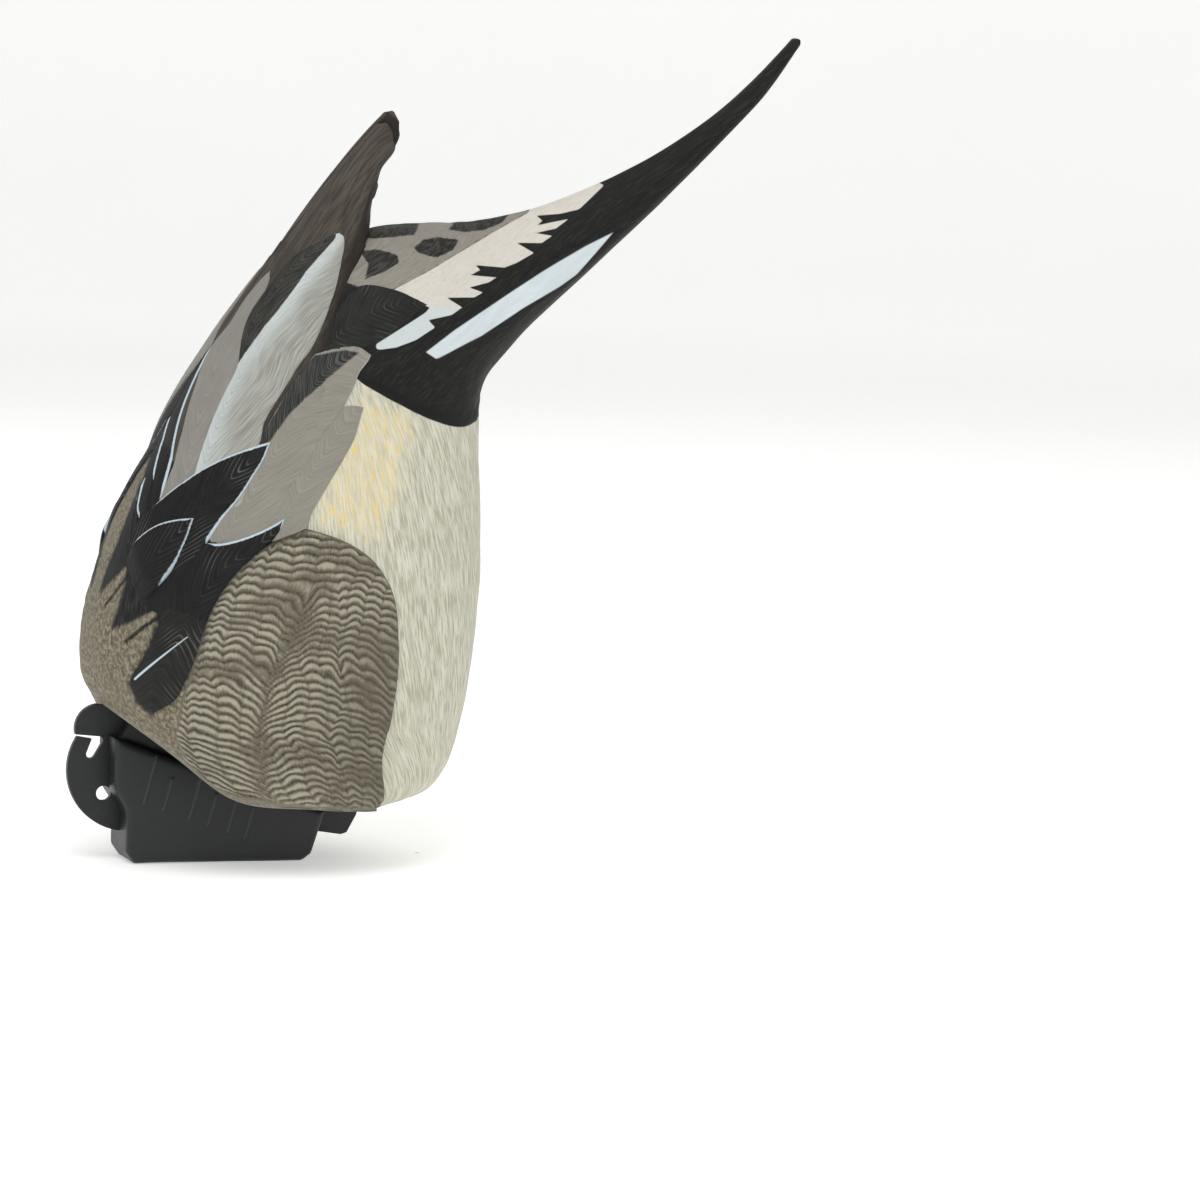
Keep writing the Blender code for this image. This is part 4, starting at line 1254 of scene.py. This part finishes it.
def make_keel_web(material):
    """The line web, with its round hole and the slit that leads into a hook, and the rear tab."""
    lean = math.degrees(math.atan2(HOOK_END[1] - HOOK_START[1], HOOK_END[0] - HOOK_START[0]))
    outline = arc(LOBE_CENTRE, LOBE_RADIUS, 270, 147.5, 48)
    outline += [(-51.8, 50.9)]
    outline += arc(HOOK_END, HOOK_RADIUS, lean - 90, lean + 90, 12)
    outline += arc(HOOK_START, HOOK_RADIUS, lean + 90, 90, 8)
    outline += arc(HORN_CENTRE, HORN_RADIUS, 192, 96, 24)
    outline += [below_deck(-46, WEB_DEPTH), below_deck(-22, WEB_DEPTH), (-22, 12)]
    hole = arc(LINE_HOLE, LINE_HOLE_RADIUS, 0, 352.5, 47)
    web = plate("web", outline, WEB_HALF_THICKNESS, WEB_EDGE, holes=[hole])
    tab = plate("tab", REAR_TAB, WEB_HALF_THICKNESS, TAB_EDGE)
    for name, mesh in (("keel_web", web), ("keel_tab", tab)):
        make_keel_part(name, mesh, np.zeros(len(mesh.vertices)), material)


KEEL_MATERIAL = keel_paint()
make_keel_block(KEEL_MATERIAL)
make_keel_web(KEEL_MATERIAL)


# ---- plugs, ballast, gasket and fasteners ----------------------------------------------------

def plug_paint():
    p = Paint("plug_plastic_detail", roughness=0.5)
    cloud = p.noise(p.place(), 5)
    grain = p.noise(p.place(), 0.5)
    colour = p.mix(cloud, rgb(52, 52, 52), rgb(68, 68, 67))
    return p.done(colour, grain, 0.08, p.plus(0.42, p.times(cloud, 0.2)))


def ballast_paint():
    p = Paint("ballast_sand_detail", roughness=0.9, specular=0.2)
    grain = p.noise(p.place(), 0.6, detail=2)
    cloud = p.noise(p.place(), 9)
    colour = p.blend(grain, 0.35, 0.65, rgb(150, 132, 102), rgb(196, 180, 148))
    return p.done(p.tint(colour, cloud, 0.5, rgb(168, 146, 112)), grain, 0.4)


def rubber_paint():
    p = Paint("seal_rubber_detail", roughness=0.8, specular=0.25)
    bloom = p.noise(p.place(), 7, detail=4)
    grain = p.noise(p.place(), 0.4, detail=2)
    colour = p.blend(bloom, 0.35, 0.75, rgb(28, 28, 28), rgb(54, 54, 53))
    return p.done(colour, grain, 0.06, p.plus(0.68, p.times(bloom, 0.2)))


def steel_paint():
    p = Paint("steel_screw_detail", roughness=0.3)
    p.inputs["Metallic"].default_value = 1.0
    brushed = p.noise(p.place(), (0.3, 3, 3))
    stain = p.noise(p.place(), 1.8)
    colour = p.blend(stain, 0.5, 0.75, rgb(186, 188, 190), rgb(140, 136, 130))
    return p.done(colour, brushed, 0.02, p.plus(0.22, p.times(brushed, 0.25)))


def assign(names, material):
    for name in names:
        slots = NODES[name].data.materials
        slots.clear()
        slots.append(material)


assign(["body_plug", "keel_fill_plug"], plug_paint())
assign(["keel_ballast"], ballast_paint())
assign(["keel_gasket"] + [n for n in NODES if n.startswith("seal_washer")], rubber_paint())
assign([n for n in NODES if n.startswith("keel_screw")], steel_paint())


# ---- floor, light and camera, in metres ------------------------------------------------------

FLOOR_RADIUS = 3.4
FLOOR_BEND = 1.4
FLOOR_GLOW = 0.42          # the floor is lit a little from within, as on a light table
WORLD_LIGHT = 0.42
LIGHT_TARGET = Vector((0.05, 0, 0.16))
AIM = Vector((0.090, 0, 0.170))


def stage_paint():
    p = Paint("pale_floor", roughness=0.9, specular=0.1)
    tone = p.mix(p.noise(p.place(), 600, detail=2), rgb(246, 246, 245), rgb(250, 250, 249))
    p.put(p.inputs["Emission Color"], tone)
    p.inputs["Emission Strength"].default_value = FLOOR_GLOW
    return p.done(tone)


def make_stage():
    """A pale round dish: a flat floor whose edge curves up, so it lies behind the object all round."""
    profile = [(0.001, 0.0), (FLOOR_RADIUS, 0.0)]
    profile += [(FLOOR_RADIUS + FLOOR_BEND * math.sin(a), FLOOR_BEND * (1 - math.cos(a)))
                for a in np.linspace(0.1, math.pi / 2, 12)]
    turns = whole_turn(96)
    points = [(AIM.x + r * math.cos(t), r * math.sin(t), h) for r, h in profile for t in turns]
    faces = grid_faces(len(profile), len(turns), True).tolist()
    make_object("pale_floor", np.array(points) / MM, faces, stage_paint())


def direction(azimuth, elevation):
    """Outward direction in degrees: azimuth 0 is the left side (-Y), and positive turns it to +X."""
    a = math.radians(azimuth)
    e = math.radians(elevation)
    return Vector((math.sin(a) * math.cos(e), -math.cos(a) * math.cos(e), math.sin(e)))


def add_light(name, azimuth, elevation, distance, size, power):
    """A soft square light that looks at the middle of the object."""
    data = bpy.data.lights.new(name, "AREA")
    data.size = size
    data.energy = power
    light = add_object(name, data)
    out = direction(azimuth, elevation)
    light.location = LIGHT_TARGET + out * distance
    light.rotation_euler = out.to_track_quat("Z", "Y").to_euler()


def light_scene():
    world = bpy.data.worlds.new("studio")
    world.use_nodes = True
    background = world.node_tree.nodes["Background"]
    background.inputs["Color"].default_value = (1, 1, 1, 1)
    background.inputs["Strength"].default_value = WORLD_LIGHT
    bpy.context.scene.world = world
    add_light("key", -30, 55, 1.6, 1.0, 10.5)
    add_light("fill", 45, 25, 2.0, 1.6, 3.5)
    add_light("top", 10, 85, 1.6, 1.4, 3.5)
    add_light("far", 170, 40, 2.0, 1.6, 5)


CAMERA_AZIMUTH = -16.0
CAMERA_ELEVATION = 5.0
CAMERA_ROLL = 1.4          # the picture is turned clockwise by this
CAMERA_DISTANCE = 2.6
AIM_RIGHT = 0.0728         # the middle of the picture lies this far right of the aim,
AIM_DOWN = 0.0621          # and this far below it
PICTURE_WIDTH = 0.504      # width of the view at the aim
SENSOR = 36.0


def make_camera():
    a = math.radians(CAMERA_AZIMUTH)
    k = math.radians(CAMERA_ROLL)
    back = direction(CAMERA_AZIMUTH, CAMERA_ELEVATION)
    level = Vector((math.cos(a), math.sin(a), 0))
    upright = back.cross(level)
    right = level * math.cos(k) + upright * math.sin(k)
    up = -level * math.sin(k) + upright * math.cos(k)
    eye = AIM + back * CAMERA_DISTANCE
    out = (eye - (AIM + right * AIM_RIGHT - up * AIM_DOWN)).normalized()
    across = up.cross(out).normalized()
    data = bpy.data.cameras.new("camera")
    data.sensor_width = SENSOR
    data.lens = SENSOR * CAMERA_DISTANCE / PICTURE_WIDTH
    camera = add_object("camera", data)
    turn = Matrix((across, out.cross(across), out)).transposed()
    camera.matrix_world = Matrix.Translation(eye) @ turn.to_4x4()
    bpy.context.scene.camera = camera


make_stage()
light_scene()
make_camera()
bpy.context.scene.view_settings.view_transform = "Standard"
